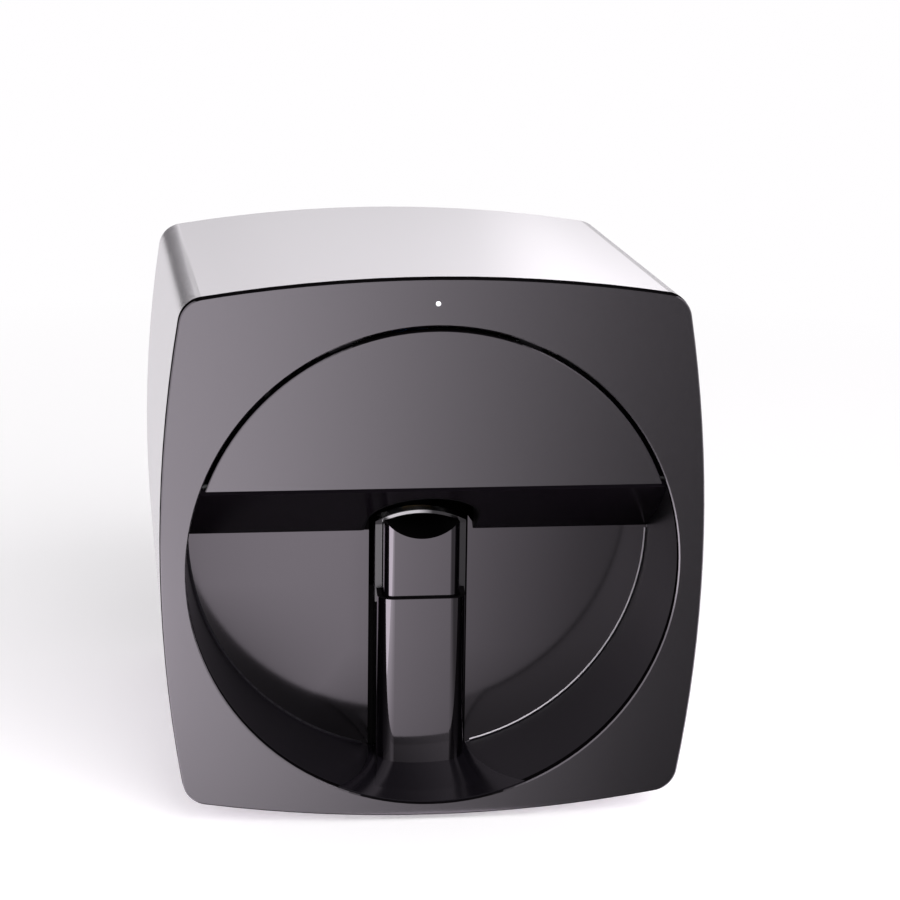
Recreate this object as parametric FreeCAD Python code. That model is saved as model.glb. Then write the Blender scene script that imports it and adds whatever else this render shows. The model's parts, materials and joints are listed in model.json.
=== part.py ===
import FreeCAD, Part
import math
import os
from FreeCAD import Vector

# A desktop nail printer: a box-shaped body with a round front recess.  A finger rests on a
# sprung column in the recess, and a cartridge on an X-Y gantry prints the nail from above.
#
# Frame: X to the right seen from the front, Y into the machine, Z up.  The origin is on the
# table, under the centre of the body.  Millimetres.  A "depth" is measured back from the front
# face, and a "rise" up from the middle of the round opening.

# ---- body
OPENING_R = 100.0
BODY_DEPTH = 230.0
SIDE_MARGIN = 10.35
TOP_MARGIN = 19.35
BOTTOM_MARGIN = 5.5
BODY_BOTTOM_Z = 2.0
WIDEST_RISE = 7.0
SIDE_ARC = 571.0
TOP_ARC = 613.0
BOTTOM_ARC = 579.0
TOP_DROP = 9.0
CORNER_R = 11.0
REAR_ROUND = 7.0
SHELL_WALL = 2.6
REAR_WALL = 4.0
SEAM = 0.6
OPENING_Z = BODY_BOTTOM_Z + BOTTOM_MARGIN + OPENING_R
BODY_TOP_Z = OPENING_Z + OPENING_R + TOP_MARGIN
BODY_HALF = OPENING_R + SIDE_MARGIN
WIDEST_Z = OPENING_Z + WIDEST_RISE
FACE_Y = -BODY_DEPTH / 2
REAR_Y = BODY_DEPTH / 2

# ---- clearances
FIT = 0.3
SLIDE_CLEAR = 0.3
RUN_CLEAR = 0.05
CUT_OVER = 1.0
BEYOND = 10.0

# ---- screws
SCREW_R = 1.5
SCREW_HEAD_R = 2.9
SCREW_HEAD_T = 2.2
HEAD_SINK = 1.2
SLOT_HALF_W = 0.4
SLOT_HALF_L = 2.0
SLOT_DEPTH = 0.6
SCREW_BITE = 8.0

# ---- front plate, its screw bosses and the lugs behind them
FASCIA_T = 4.0
FASCIA_INSET = 0.3
FASCIA_CHAMFER = 0.5
LUG_X = OPENING_R - 10.0
LUG_RISE = OPENING_R - 12.0
LUG_R = 6.0
LUG_LENGTH = 8.0
BOSS_R = 4.0
BOSS_LENGTH = 12.0
BOSS_END_WALL = 2.0
SHELL_FRONT_Y = FACE_Y + FASCIA_T + SEAM

# ---- status light
LIGHT_RISE = OPENING_R + 0.47 * TOP_MARGIN
LIGHT_R = 1.0
LIGHT_BASE_R = 2.2
LIGHT_PIPE_TAIL = 2.0
LIGHT_BOARD_HALF_W = 7.0
LIGHT_BOARD_HALF_H = 4.0
LIGHT_BOARD_T = 1.2
LIGHT_CLIP_R = 1.2
LIGHT_CLIP_INSET = 2.0
LED_HALF_W = 1.5
LED_HALF_H = 1.0
LED_HEIGHT = 1.0

# ---- recess
WELL_DEPTH = 60.0
WELL_END_R = OPENING_R - 2.0
WELL_WALL = 2.0
WELL_FLANGE = 3.0
WELL_FLANGE_T = 1.6
WELL_COVE = 1.1
PLATE_T = 2.5
PLATE_EAR = 5.8
CHANNEL_HALF = 21.0
CHANNEL_BOTTOM = 2.0 - WELL_END_R

# ---- access door
DOOR_GAP = 1.8
DOOR_R = OPENING_R - DOOR_GAP
DOOR_CHORD = 34.1
DOOR_CHAMFER = 0.4
DOOR_SWING_ROOM = 0.6
HINGE_PIN_R = 1.0
HINGE_GRIP = 5.0
PIN_IN_FASCIA = 4.0
PIN_END_ROOM = 0.5
MAGNET_R = 3.0
MAGNET_T = 1.6
MAGNET_X = 38.0
MAGNET_RISE = OPENING_R - 20.0
MAGNET_WALL = 1.5
MAGNET_BACK = 2.0

# ---- slope under the door, and the finger tunnel
SOFFIT_T = 2.2
SOFFIT_END_GAP = 0.2
TUNNEL_HALF = 23.2
TUNNEL_TOP = 25.3
TUNNEL_SPRING = 8.0
TUNNEL_WALL = 0.8
TUNNEL_LEG_END = 0.0
LINER_START = 10.0

# ---- finger column
COLUMN_DEPTH = 40.0
COLUMN_HALF = 18.6
COLUMN_ROUND = 6.85
COLUMN_BEHIND = 6.0
COLUMN_BACK = WELL_DEPTH + COLUMN_BEHIND
SLEEVE_WALL = 2.3
SLEEVE_TOP = -24.7
SLEEVE_FLOOR = 18.0 - OPENING_R
SLEEVE_BACK_WALL = 2.0
SLEEVE_FLANGE = 6.0
REST_TRAVEL = 12.0
REST_EAR = 6.6
REST_GUIDE = 18.0
REST_SKIRT = SLEEVE_FLOOR + REST_TRAVEL + REST_GUIDE
REST_HOLLOW_WALL = 2.4
TROUGH_R = 20.0
TROUGH_LOW = 0.7
TROUGH_SKIN = 3.0
SLEEVE_SHOULDER = TROUGH_LOW - TROUGH_SKIN - REST_TRAVEL - SLIDE_CLEAR - SLEEVE_TOP
EAR_CUT = 5.0
CRADLE_END = 92.0
CRADLE_HALF = 15.2
HOOD_DEPTH = 51.0
HOOD_LENGTH = 8.0
HOOD_TOP = 11.0
HOOD_ARC = 41.0
HOOD_T = 1.3
HOOD_LEG = 2.8
HOOD_ROOT = 4.0
HOOD_CLEAR = 0.5
HOLLOW_FRONT = COLUMN_DEPTH + SLEEVE_WALL + SLIDE_CLEAR + REST_HOLLOW_WALL
HOLLOW_BACK = COLUMN_BACK - SLEEVE_BACK_WALL - SLIDE_CLEAR - REST_HOLLOW_WALL
SPRING_FRONT_CLEAR = 1.5
SPRING_BACK_CLEAR = 0.8
SPRING_SEAT = -34.0
SPRING_R = (HOLLOW_BACK - HOLLOW_FRONT - SPRING_FRONT_CLEAR - SPRING_BACK_CLEAR) / 2
SPRING_DEPTH = HOLLOW_FRONT + SPRING_FRONT_CLEAR + SPRING_R
SPRING_WIRE = 0.7
SPRING_TURNS = 8

# ---- flared foot of the column
FOOT_START = 1.0
FOOT_RISE = 1.6
FOOT_HALF_FRONT = 24.0
APRON_HALF_FRONT = 38.5
APRON_WAIST = 4.0
APRON_RISE = 0.5

# ---- rear panel
PANEL_W = 2.0 * (OPENING_R - 25.0)
PANEL_H = 1.4 * OPENING_R
PANEL_LOW = 22.0
PANEL_Z = PANEL_LOW + PANEL_H / 2
PANEL_T = 2.0
PANEL_LEDGE = 6.0
PANEL_CORNER = 8.0
VENT_COUNT = 9
VENT_PITCH = 7.0
VENT_SLOT = 3.0
VENT_WIDTH = 92.0
VENT_TOP = PANEL_LOW + PANEL_H - 20.0
VENT_END_FLAT = 0.05

# ---- frame inside the body
FRAME_X = OPENING_R - 12.0
FRAME_T = 2.0
FRAME_TOP = OPENING_R - 3.0
FRAME_FRONT = WELL_DEPTH + 7.0
FRAME_BACK = BODY_DEPTH - 22.0
FRAME_RIB = 14.0
FRAME_FOOT = 12.0
CHASSIS_HALF = FRAME_X - 2.0
CHASSIS_FRONT = FRAME_FRONT - 1.0
CHASSIS_BACK = BODY_DEPTH - 8.0
CHASSIS_CORNER = 6.0
CHASSIS_BOTTOM = 12.0
CHASSIS_T = 2.0
CHASSIS_TOP = CHASSIS_BOTTOM + CHASSIS_T
CHASSIS_WINDOW_HALF = 30.0
CHASSIS_WINDOW_IN = 30.0
CHASSIS_WINDOW_START = CHASSIS_FRONT + CHASSIS_WINDOW_IN
FLOOR_POST_X = CHASSIS_HALF - 24.0
FLOOR_POST_Y0 = FACE_Y + FRAME_FRONT + 10.0
FLOOR_POST_Y1 = REAR_Y - 23.0
FLOOR_POST_R = 5.0
POST_BORE = 5.0
FOOT_X = FRAME_X - 20.0
FOOT_FROM_END = 39.0
FOOT_Y = BODY_DEPTH / 2 - FOOT_FROM_END
FOOT_R = 8.0
FOOT_EDGE = 0.8
CHAMBER_END = CRADLE_END + 6.0
CHAMBER_HALF = FRAME_X - 18.0
Y_RAIL_X = FRAME_X - 12.0
Y_RAIL_RISE = FRAME_TOP - 9.0
Y_RAIL_R = 4.0
SUPPORT_T = 8.0
SUPPORT_LOW = FRAME_TOP - 17.0
SUPPORT_REACH = 9.0

# ---- main board and what is on it
BOARD_STANDOFF = 14.0
BOARD_T = 1.6
BOARD_TOP = CHASSIS_TOP + BOARD_STANDOFF + BOARD_T
BOARD_SIDE_ROOM = 30.0
BOARD_FROM_BACK = 90.0
BOARD_HALF = FRAME_X - BOARD_SIDE_ROOM
BOARD_FRONT = BODY_DEPTH - BOARD_FROM_BACK
BOARD_REAR_GAP = 1.0
STANDOFF_R = 3.0
STANDOFF_INSET = 6.0
STUD_TIP = 1.5
PROCESSOR_SIDE = 18.0
PROCESSOR_T = 1.8
PROCESSOR_AT = 26.0
DRIVER_SIDE = 8.0
DRIVER_T = 1.5
DRIVER_AT = 12.0
DRIVER_XS = (-36.0, -24.0, 24.0, 36.0)
CAPACITOR_R = 4.0
CAPACITOR_H = 9.0
CAPACITOR_AT = 36.0
CAPACITOR_XS = (-30.0, -18.0)
HEADER_W = 28.0
HEADER_D = 5.0
HEADER_H = 5.0
HEADER_AT = 6.0
MEMORY_X = 20.0
MEMORY_W = 14.0
MEMORY_D = 8.0
MEMORY_T = 1.4
MEMORY_AT = 32.0

# ---- rear sockets and the power button
PORT_SET_BACK = 0.2
INLET_X = 14.0 - BOARD_HALF
INLET_HALF = 4.6
INLET_HEIGHT = 11.0
INLET_LENGTH = 14.0
INLET_BACK_WALL = 3.0
INLET_BORE_R = 2.8
INLET_PIN_R = 1.0
INLET_PIN_SET_BACK = 2.0
USB_X = INLET_X + 26.0
USB_HALF = 6.0
USB_HEIGHT = 7.0
USB_LENGTH = 15.0
USB_WALL = 0.8
USB_TONGUE_SIDE = 2.0
USB_TONGUE_T = 1.8
USB_TONGUE_SET_BACK = 1.5
PORT_ROOT = 0.5
BUTTON_X = PANEL_W / 2 - 29.0
BUTTON_RISE = 36.0
BUTTON_Z = PANEL_LOW + BUTTON_RISE
BUTTON_R = 7.0
BUTTON_EDGE = 0.6
BUTTON_TRAVEL = 1.2
BUTTON_FLANGE = 1.2
BUTTON_STEM_R = 2.0
BUTTON_STEM_IN = 3.0
SWITCH_GAP = 4.0
SWITCH_BODY = 18.0
SWITCH_LENGTH = 10.0
SWITCH_POST = 3.0

# ---- carriage rails, and the bridge that carries them
PLATE_CLEAR = 3.5
NOZZLE_BEHIND = 4.0
CARTRIDGE_DEPTH = 42.0
RAIL_BEHIND = 8.0
NOZZLE_FRONT = WELL_DEPTH + PLATE_T + PLATE_CLEAR
CARTRIDGE_FRONT = NOZZLE_FRONT - NOZZLE_BEHIND
CARTRIDGE_BACK = CARTRIDGE_FRONT + CARTRIDGE_DEPTH
X_RAIL_DEPTH = CARTRIDGE_BACK + RAIL_BEHIND
X_RAIL_PITCH = 40.0
X_RAIL_HIGH = Y_RAIL_RISE - 18.0
X_RAIL_LOW = X_RAIL_HIGH - X_RAIL_PITCH
X_RAIL_RISES = (X_RAIL_LOW, X_RAIL_HIGH)
X_RAIL_R = 3.0
X_TRAVEL = 32.0
CARTRIDGE_HALF = 13.0
HOLDER_WALL = 2.0
END_STOP_ROOM = 15.0
BLOCK_IN = CARTRIDGE_HALF + HOLDER_WALL + X_TRAVEL + END_STOP_ROOM
BLOCK_OUT = FRAME_X - 4.0
BLOCK_FRONT = X_RAIL_DEPTH - 8.0
BLOCK_BACK = X_RAIL_DEPTH + 6.0
BLOCK_LOW = X_RAIL_LOW - 8.0
BUSH_WALL = 3.5
BUSH_FLANGE = 1.2
Y_BUSH_GROW = 2.0
BEAM_FRONT = X_RAIL_DEPTH + 15.0
BEAM_T = 3.0
BEAM_LOW = X_RAIL_LOW + 6.0
BEAM_HIGH = X_RAIL_HIGH + 4.0
BEAM_BORDER = 8.0
BEAM_WINDOW_HALF = 36.0
BEAM_CORNER = 5.0
CHEEK_T = 5.0

# ---- belt drive
PULLEY_X = BLOCK_OUT - 18.0
PULLEY_RISE = (X_RAIL_LOW + X_RAIL_HIGH) / 2
PULLEY_R = 6.0
PULLEY_RIM = 2.0
PULLEY_FLANGE = 1.6
BELT_T = 1.0
BELT_W = 3.0
BELT_DEPTH = X_RAIL_DEPTH + 10.0
BELT_CLEAR = 0.3
COLLAR_WALL = 1.5
MOTOR_SIDE = 35.0
MOTOR_LENGTH = 22.0
MOTOR_SHAFT_R = 2.5
MOTOR_SHAFT_HOLE = 1.0
MOTOR_CORNER = 3.0
MOTOR_GROOVES = (0.3, 0.7)
GROOVE_W = 1.0
GROOVE_DEPTH = 0.6

# ---- lead screw drive
SCREW_X = BLOCK_OUT - 30.0
SCREW_RISE = X_RAIL_HIGH - 7.8
LEAD_SCREW_R = 3.0
NUT_R = 6.0
NUT_LENGTH = 14.0
NUT_FLANGE_R = 9.0
NUT_FLANGE_T = 3.0
SCREW_TIP_IN = 0.5
COUPLING_WALL = 3.0
COUPLING_LAP = 4.0
COUPLING_GAP = 0.5
MOTOR_SHAFT_OUT = 8.0
BRACKET_T = 3.0
BRACKET_BORE_R = 5.5
BRACKET_HEAD_GAP = 0.2
# What is left between the nut and the coupling is the bridge's travel.
MOTOR_REAR_ROOM = 8.0
Y_MOTOR_FACE = BODY_DEPTH - MOTOR_REAR_ROOM - MOTOR_LENGTH

# ---- cartridge, its holder and its latch
CARTRIDGE_LOW = 16.0
CARTRIDGE_HIGH = 72.0
CARTRIDGE_ROUND = 3.0
GRIP_INSET = 5.0
GRIP_TOP = 10.0
GRIP_T = 2.0
GRIP_PITCH = 4.0
GRIP_COUNT = 4
NOZZLE_HALF = 9.0
NOZZLE_BACK = NOZZLE_FRONT + 18.0
NOZZLE_DROP = 2.5
NOZZLE_INSET = 2.0
NOZZLE_T = 0.5
HOLDER_LIP = 8.0
HOLDER_SIDE_TOP = 48.0
HOLDER_BACK_TOP = 80.0
BEARING_HALF = 14.0
BEARING_T = 12.5
BEARING_BEYOND = 7.0
X_BUSH_WALL = 1.8
CLAMP_HALF = 5.0
CLAMP_WALL = 4.0
CLAMP_BACK = 1.0
LATCH_HALF = 8.0
LATCH_DEPTH = CARTRIDGE_BACK - 3.0
LATCH_RISE = CARTRIDGE_HIGH + 3.5
LATCH_REACH = 21.0
LATCH_HUB_R = 2.8
LATCH_PIN_R = 1.2
LATCH_EAR = 3.7
LATCH_EAR_TOP = 3.0
LATCH_TAB_T = 2.5
LATCH_TAB_H = 3.5

# ---- camera
CAMERA_X = -24.0
CAMERA_DEPTH = CARTRIDGE_FRONT + 12.0
CAMERA_HALF = 8.7
CAMERA_LOW = 34.0
CAMERA_HIGH = 48.0
BARREL_R = 5.0
BARREL_LOW = 26.0
LENS_R = 4.0
LENS_SET_BACK = 0.4
LENS_SEAT = 2.0
LENS_DOME = 2.6
RING_R = 8.0
RING_DROP = 4.0
RING_T = 1.6
LAMP_COUNT = 8
LAMP_R = 0.9
LAMP_H = 0.8

# ---- tray that catches stray ink
TRAY_X = -33.0
TRAY_HALF = 13.0
TRAY_FRONT = NOZZLE_FRONT
TRAY_BACK = TRAY_FRONT + 20.0
TRAY_LOW = 4.0
TRAY_HIGH = 12.0
TRAY_WALL = 1.5
TRAY_POST = 6.0
PAD_CLEAR = 0.2
PAD_BELOW_RIM = 1.0


# ---------------------------------------------------------------- small helpers
def deep(distance):
    """Y of a plane this far behind the front face."""
    return FACE_Y + distance


def up(rise):
    """Z of a level this far above the middle of the round opening."""
    return OPENING_Z + rise


def block(x0, x1, y0, y1, z0, z1):
    return Part.makeBox(x1 - x0, y1 - y0, z1 - z0, Vector(x0, y0, z0))


def rod_x(y, z, radius, x0, x1):
    return Part.makeCylinder(radius, x1 - x0, Vector(x0, y, z), Vector(1, 0, 0))


def rod_y(x, z, radius, y0, y1):
    return Part.makeCylinder(radius, y1 - y0, Vector(x, y0, z), Vector(0, 1, 0))


def rod_z(x, y, radius, z0, z1):
    return Part.makeCylinder(radius, z1 - z0, Vector(x, y, z0), Vector(0, 0, 1))


def joined(pieces):
    return pieces[0].fuse(pieces[1:]).removeSplitter()


def less(shape, cutters):
    return shape.cut(cutters).removeSplitter()


def mirrored(shape):
    """The same shape on the other side of the middle plane."""
    return shape.mirror(Vector(0, 0, 0), Vector(1, 0, 0))


def on_both_sides(shape):
    return [shape, mirrored(shape)]


def prism_yz(points, x0, x1):
    """A solid with this (y, z) outline, from x0 to x1."""
    corners = [Vector(x0, y, z) for y, z in points]
    face = Part.Face(Part.makePolygon(corners + corners[:1]))
    return face.extrude(Vector(x1 - x0, 0, 0))


def prism_xz(points, y0, y1):
    corners = [Vector(x, y0, z) for x, z in points]
    face = Part.Face(Part.makePolygon(corners + corners[:1]))
    return face.extrude(Vector(0, y1 - y0, 0))


def prism_xy(points, z0, z1):
    corners = [Vector(x, y, z0) for x, y in points]
    face = Part.Face(Part.makePolygon(corners + corners[:1]))
    return face.extrude(Vector(0, 0, z1 - z0))


def rounded(shape, radius, along):
    """Rounds the edges that run in one direction."""
    picked = []
    for edge in shape.Edges:
        if edge.Curve.TypeId == "Part::GeomLine":
            run = edge.Vertexes[-1].Point - edge.Vertexes[0].Point
            if run.cross(along).Length < 1e-6 * run.Length:
                picked.append(edge)
    return shape.makeFillet(radius, picked)


PARTS = {}


def part(name, solids):
    """Keeps one sub-part: a solid, or a list of solids that share a node."""
    PARTS[name] = solids if isinstance(solids, list) else [solids]


# ---------------------------------------------------------------- the body's outline
def below_body(inset):
    """The body's curved underside, as the cylinder above it."""
    centre_z = BODY_BOTTOM_Z + BOTTOM_ARC
    return rod_y(0, centre_z, BOTTOM_ARC - inset, FACE_Y - BEYOND, REAR_Y + BEYOND)


def body_prism(inset, y0, y1, corner):
    """The body's four-arc section between two planes, its top falling to the rear."""
    reach = SIDE_ARC - BODY_HALF
    left = rod_y(reach, WIDEST_Z, SIDE_ARC - inset, y0, y1)
    right = rod_y(-reach, WIDEST_Z, SIDE_ARC - inset, y0, y1)
    slope = math.atan2(TOP_DROP, BODY_DEPTH)
    run_in = 3 * BEYOND
    axis_z = BODY_TOP_Z - TOP_ARC / math.cos(slope)
    start = Vector(0, FACE_Y - run_in, axis_z + run_in * math.tan(slope))
    fall = Vector(0, math.cos(slope), -math.sin(slope))
    top = Part.makeCylinder(TOP_ARC - inset, BODY_DEPTH + 2 * run_in, start, fall)
    body = left.common(right).common(top).common(below_body(inset))
    long_edges = []
    for edge in body.Edges:
        run = edge.Vertexes[-1].Point.y - edge.Vertexes[0].Point.y
        if abs(abs(run) - (y1 - y0)) < 0.01:
            long_edges.append(edge)
    return body.makeFillet(corner, long_edges)


def edges_at_y(shape, y):
    return [edge for edge in shape.Edges
            if max(abs(vertex.Point.y - y) for vertex in edge.Vertexes) < 0.001
            and abs(edge.CenterOfMass.y - y) < 0.001]


def well_cone(inset, d0, d1):
    """The recess's tapering bore between two depths, made smaller by inset."""
    taper = (OPENING_R - WELL_END_R) / WELL_DEPTH
    r0 = OPENING_R - taper * d0 - inset
    r1 = OPENING_R - taper * d1 - inset
    return Part.makeCone(r0, r1, d1 - d0, Vector(0, deep(d0), OPENING_Z), Vector(0, 1, 0))


# ---------------------------------------------------------------- housing


def at_corners(x, z):
    return [(x, z), (-x, z), (x, -z), (-x, -z)]


def rounded_slab(half_w, half_h, z, y0, y1, corner):
    slab = block(-half_w, half_w, y0, y1, z - half_h, z + half_h)
    return rounded(slab, corner, Vector(0, 1, 0))


def floor_posts():
    """Places of the four posts that carry the chassis."""
    return [(x, y) for x in (-FLOOR_POST_X, FLOOR_POST_X) for y in (FLOOR_POST_Y0, FLOOR_POST_Y1)]


def housing_shell():
    outer = body_prism(0, SHELL_FRONT_Y, REAR_Y, CORNER_R)
    outer = outer.makeFillet(REAR_ROUND, edges_at_y(outer, REAR_Y))
    inner_end = REAR_Y - REAR_WALL
    inner = body_prism(SHELL_WALL, SHELL_FRONT_Y - BEYOND, inner_end, CORNER_R - SHELL_WALL)
    shell = outer.cut(inner)
    # lugs for the fascia's screws, behind its bosses
    lugs = []
    for x, rise in at_corners(LUG_X, LUG_RISE):
        lug_y = deep(FASCIA_T) + BOSS_LENGTH + FIT
        wall_x = math.copysign(BODY_HALF, x)
        reach = block(min(x, wall_x), max(x, wall_x), lug_y, lug_y + LUG_LENGTH,
                      up(rise) - LUG_R, up(rise) + LUG_R)
        lugs.append(reach.fuse(rod_y(x, up(rise), LUG_R, lug_y, lug_y + LUG_LENGTH)).common(outer))
    posts = [rod_z(x, y, FLOOR_POST_R, 0, CHASSIS_BOTTOM).common(outer) for x, y in floor_posts()]
    shell = joined([shell] + lugs + posts)
    holes = []
    for x, rise in at_corners(LUG_X, LUG_RISE):
        lug_y = deep(FASCIA_T) + BOSS_LENGTH
        holes.append(rod_y(x, up(rise), SCREW_R, lug_y, lug_y + 2 * LUG_LENGTH))
    for x, y in floor_posts():
        holes.append(rod_z(x, y, SCREW_R, CHASSIS_BOTTOM - POST_BORE, CHASSIS_BOTTOM + CUT_OVER))
    window = rounded_slab(PANEL_W / 2 - PANEL_LEDGE, PANEL_H / 2 - PANEL_LEDGE, PANEL_Z,
                          inner_end - CUT_OVER, REAR_Y + CUT_OVER, PANEL_CORNER)
    pocket = rounded_slab(PANEL_W / 2 + FIT, PANEL_H / 2 + FIT, PANEL_Z,
                          REAR_Y - PANEL_T, REAR_Y + CUT_OVER, PANEL_CORNER)
    for x, rise in panel_screw_places():
        holes.append(rod_y(x, PANEL_Z + rise, SCREW_R, inner_end - CUT_OVER, REAR_Y))
    return less(shell, holes + [window, pocket])


def panel_screw_places():
    return at_corners(PANEL_W / 2 - PANEL_LEDGE, PANEL_H / 2 - PANEL_LEDGE)


def front_fascia():
    plate = body_prism(FASCIA_INSET, FACE_Y, deep(FASCIA_T), CORNER_R - FASCIA_INSET)
    opening = well_cone(0, -CUT_OVER, FASCIA_T + CUT_OVER)
    plate = plate.cut(opening)
    plate = plate.makeChamfer(FASCIA_CHAMFER, edges_at_y(plate, FACE_Y))
    bosses = [rod_y(x, up(rise), BOSS_R, deep(FASCIA_T), deep(FASCIA_T) + BOSS_LENGTH)
              for x, rise in at_corners(LUG_X, LUG_RISE)]
    plate = joined([plate] + bosses)
    bore_start = deep(FASCIA_T + BOSS_END_WALL)
    holes = [rod_y(x, up(rise), SCREW_R, bore_start, deep(FASCIA_T + BOSS_LENGTH + CUT_OVER))
             for x, rise in at_corners(LUG_X, LUG_RISE)]
    holes += door_pin_solids()
    holes.append(rod_y(0, up(LIGHT_RISE), LIGHT_R, deep(-CUT_OVER), deep(FASCIA_T + CUT_OVER)))
    holes.append(rod_y(0, up(LIGHT_RISE), LIGHT_BASE_R, deep(FASCIA_T / 2), deep(FASCIA_T + CUT_OVER)))
    return less(plate, holes)


def light_pipe():
    tip = rod_y(0, up(LIGHT_RISE), LIGHT_R, FACE_Y, deep(FASCIA_T / 2))
    base = rod_y(0, up(LIGHT_RISE), LIGHT_BASE_R, deep(FASCIA_T / 2), deep(FASCIA_T + LIGHT_PIPE_TAIL))
    return tip.fuse(base).removeSplitter()


def light_board():
    """The small board behind the light pipe: its board and its LED."""
    board_y = deep(FASCIA_T) + LIGHT_PIPE_TAIL + LED_HEIGHT
    board = block(-LIGHT_BOARD_HALF_W, LIGHT_BOARD_HALF_W, board_y, board_y + LIGHT_BOARD_T,
                  up(LIGHT_RISE) - LIGHT_BOARD_HALF_H, up(LIGHT_RISE) + LIGHT_BOARD_HALF_H)
    led = block(-LED_HALF_W, LED_HALF_W, board_y - LED_HEIGHT, board_y,
                up(LIGHT_RISE - LED_HALF_H), up(LIGHT_RISE + LED_HALF_H))
    return [board, led]


def light_board_clips():
    """Two posts on the fascia's back that carry the small board."""
    board_y = deep(FASCIA_T) + LIGHT_PIPE_TAIL + LED_HEIGHT
    x = LIGHT_BOARD_HALF_W - LIGHT_CLIP_INSET
    return on_both_sides(rod_y(x, up(LIGHT_RISE), LIGHT_CLIP_R, deep(FASCIA_T), board_y))


# ---------------------------------------------------------------- recess
def well_cove():
    """The concave round between the well and its back plate, clear of the slope and the foot."""
    start = WELL_DEPTH - WELL_COVE
    ring = well_cone(0, start, WELL_DEPTH)
    ring = ring.cut(well_cone(WELL_COVE, start - CUT_OVER, WELL_DEPTH + CUT_OVER))
    centre = Vector(0, deep(start), OPENING_Z)
    round_cut = Part.makeTorus(WELL_END_R - WELL_COVE, WELL_COVE, centre, Vector(0, 1, 0))
    above = block(-OPENING_R, OPENING_R, deep(0), deep(WELL_DEPTH + BEYOND), up(-WELL_COVE), up(OPENING_R))
    foot_half = CHANNEL_HALF + 2 * WELL_COVE
    middle = block(-foot_half, foot_half, deep(0), deep(WELL_DEPTH + BEYOND), up(-OPENING_R), up(0))
    return ring.cut([round_cut, above, middle])


def recess_well():
    bore = well_cone(0, FASCIA_T - CUT_OVER, WELL_DEPTH + CUT_OVER)
    wall = well_cone(-WELL_WALL, FASCIA_T, WELL_DEPTH).cut(bore)
    flange = rod_y(0, OPENING_Z, OPENING_R + WELL_WALL + WELL_FLANGE, deep(FASCIA_T),
                   deep(FASCIA_T + WELL_FLANGE_T)).cut(bore)
    room = body_prism(SHELL_WALL + FIT, SHELL_FRONT_Y - BEYOND, REAR_Y - REAR_WALL, CORNER_R - SHELL_WALL)
    lugs = []
    for x in (-MAGNET_X, MAGNET_X):
        half = MAGNET_R + MAGNET_WALL
        lug = block(x - half, x + half, deep(catch_face()), deep(catch_face() + MAGNET_T + MAGNET_BACK),
                    up(MAGNET_RISE - half), up(OPENING_R))
        lugs.append(lug.common(well_cone(-WELL_WALL / 2, FASCIA_T, WELL_DEPTH)))
    well = joined([wall, flange.common(room), well_cove()] + lugs)
    pockets = [catch_magnet(x) for x in (-MAGNET_X, MAGNET_X)]
    clearances = [rod_y(x, up(rise), BOSS_R + FIT, deep(FASCIA_T - CUT_OVER), deep(FASCIA_T + BOSS_LENGTH))
                  for x, rise in at_corners(LUG_X, LUG_RISE)]
    return less(well, pockets + clearances)


def catch_face():
    """Depth of the face that stops the closed door."""
    return FASCIA_T + DOOR_SWING_ROOM


def catch_magnet(x):
    return rod_y(x, up(MAGNET_RISE), MAGNET_R, deep(catch_face()), deep(catch_face() + MAGNET_T))


def incline_points(offset, d0, d1):
    """Ends of a line parallel to the slope under the door, offset upwards along its normal."""
    fall = DOOR_CHORD / WELL_DEPTH
    lift = offset * math.sqrt(1 + fall * fall)
    return [(deep(d), up(DOOR_CHORD - fall * d + lift)) for d in (d0, d1)]


def tunnel_arch(growth, y0, y1):
    """The finger tunnel's section: straight sides under a half-ellipse."""
    half = TUNNEL_HALF + growth
    crown = TUNNEL_TOP - TUNNEL_SPRING + growth
    arch = Part.Ellipse(Vector(0, 0, 0), half, crown)
    disc = Part.Face(Part.Wire(arch.toShape())).extrude(Vector(0, 0, y1 - y0))
    disc.rotate(Vector(0, 0, 0), Vector(1, 0, 0), 90)
    disc.translate(Vector(0, y1, up(TUNNEL_SPRING)))
    legs = block(-half, half, y0, y1, up(TUNNEL_LEG_END), up(TUNNEL_SPRING))
    crown_room = block(-half, half, y0, y1, up(TUNNEL_SPRING), up(TUNNEL_TOP + BEYOND))
    return joined([disc.common(crown_room), legs])


def recess_soffit():
    """The sloping underside between the door and the back plate, notched for the finger."""
    lower = incline_points(0, catch_face(), WELL_DEPTH)
    upper = incline_points(SOFFIT_T, catch_face(), WELL_DEPTH)
    slope = prism_yz(lower + upper[::-1], -OPENING_R, OPENING_R)
    slope = slope.common(well_cone(SOFFIT_END_GAP, FASCIA_T, WELL_DEPTH))
    return less(slope, [tunnel_arch(TUNNEL_WALL, deep(0), deep(WELL_DEPTH + BEYOND))])


def tunnel_liner():
    """The dark arched lining of the finger's way in, cut off flush with the slope."""
    liner = tunnel_arch(TUNNEL_WALL, deep(LINER_START), deep(WELL_DEPTH - FIT))
    liner = liner.cut(tunnel_arch(0, deep(LINER_START - CUT_OVER), deep(WELL_DEPTH + CUT_OVER)))
    lower = incline_points(0, -2 * BEYOND, WELL_DEPTH + 2 * BEYOND)
    under = [(lower[1][0], up(-WELL_DEPTH)), (lower[0][0], up(-WELL_DEPTH))]
    keep_off = prism_yz(lower + under, -OPENING_R, OPENING_R)
    liner = liner.cut(keep_off).common(well_cone(SOFFIT_END_GAP, FASCIA_T, WELL_DEPTH))
    return liner.removeSplitter()


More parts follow.
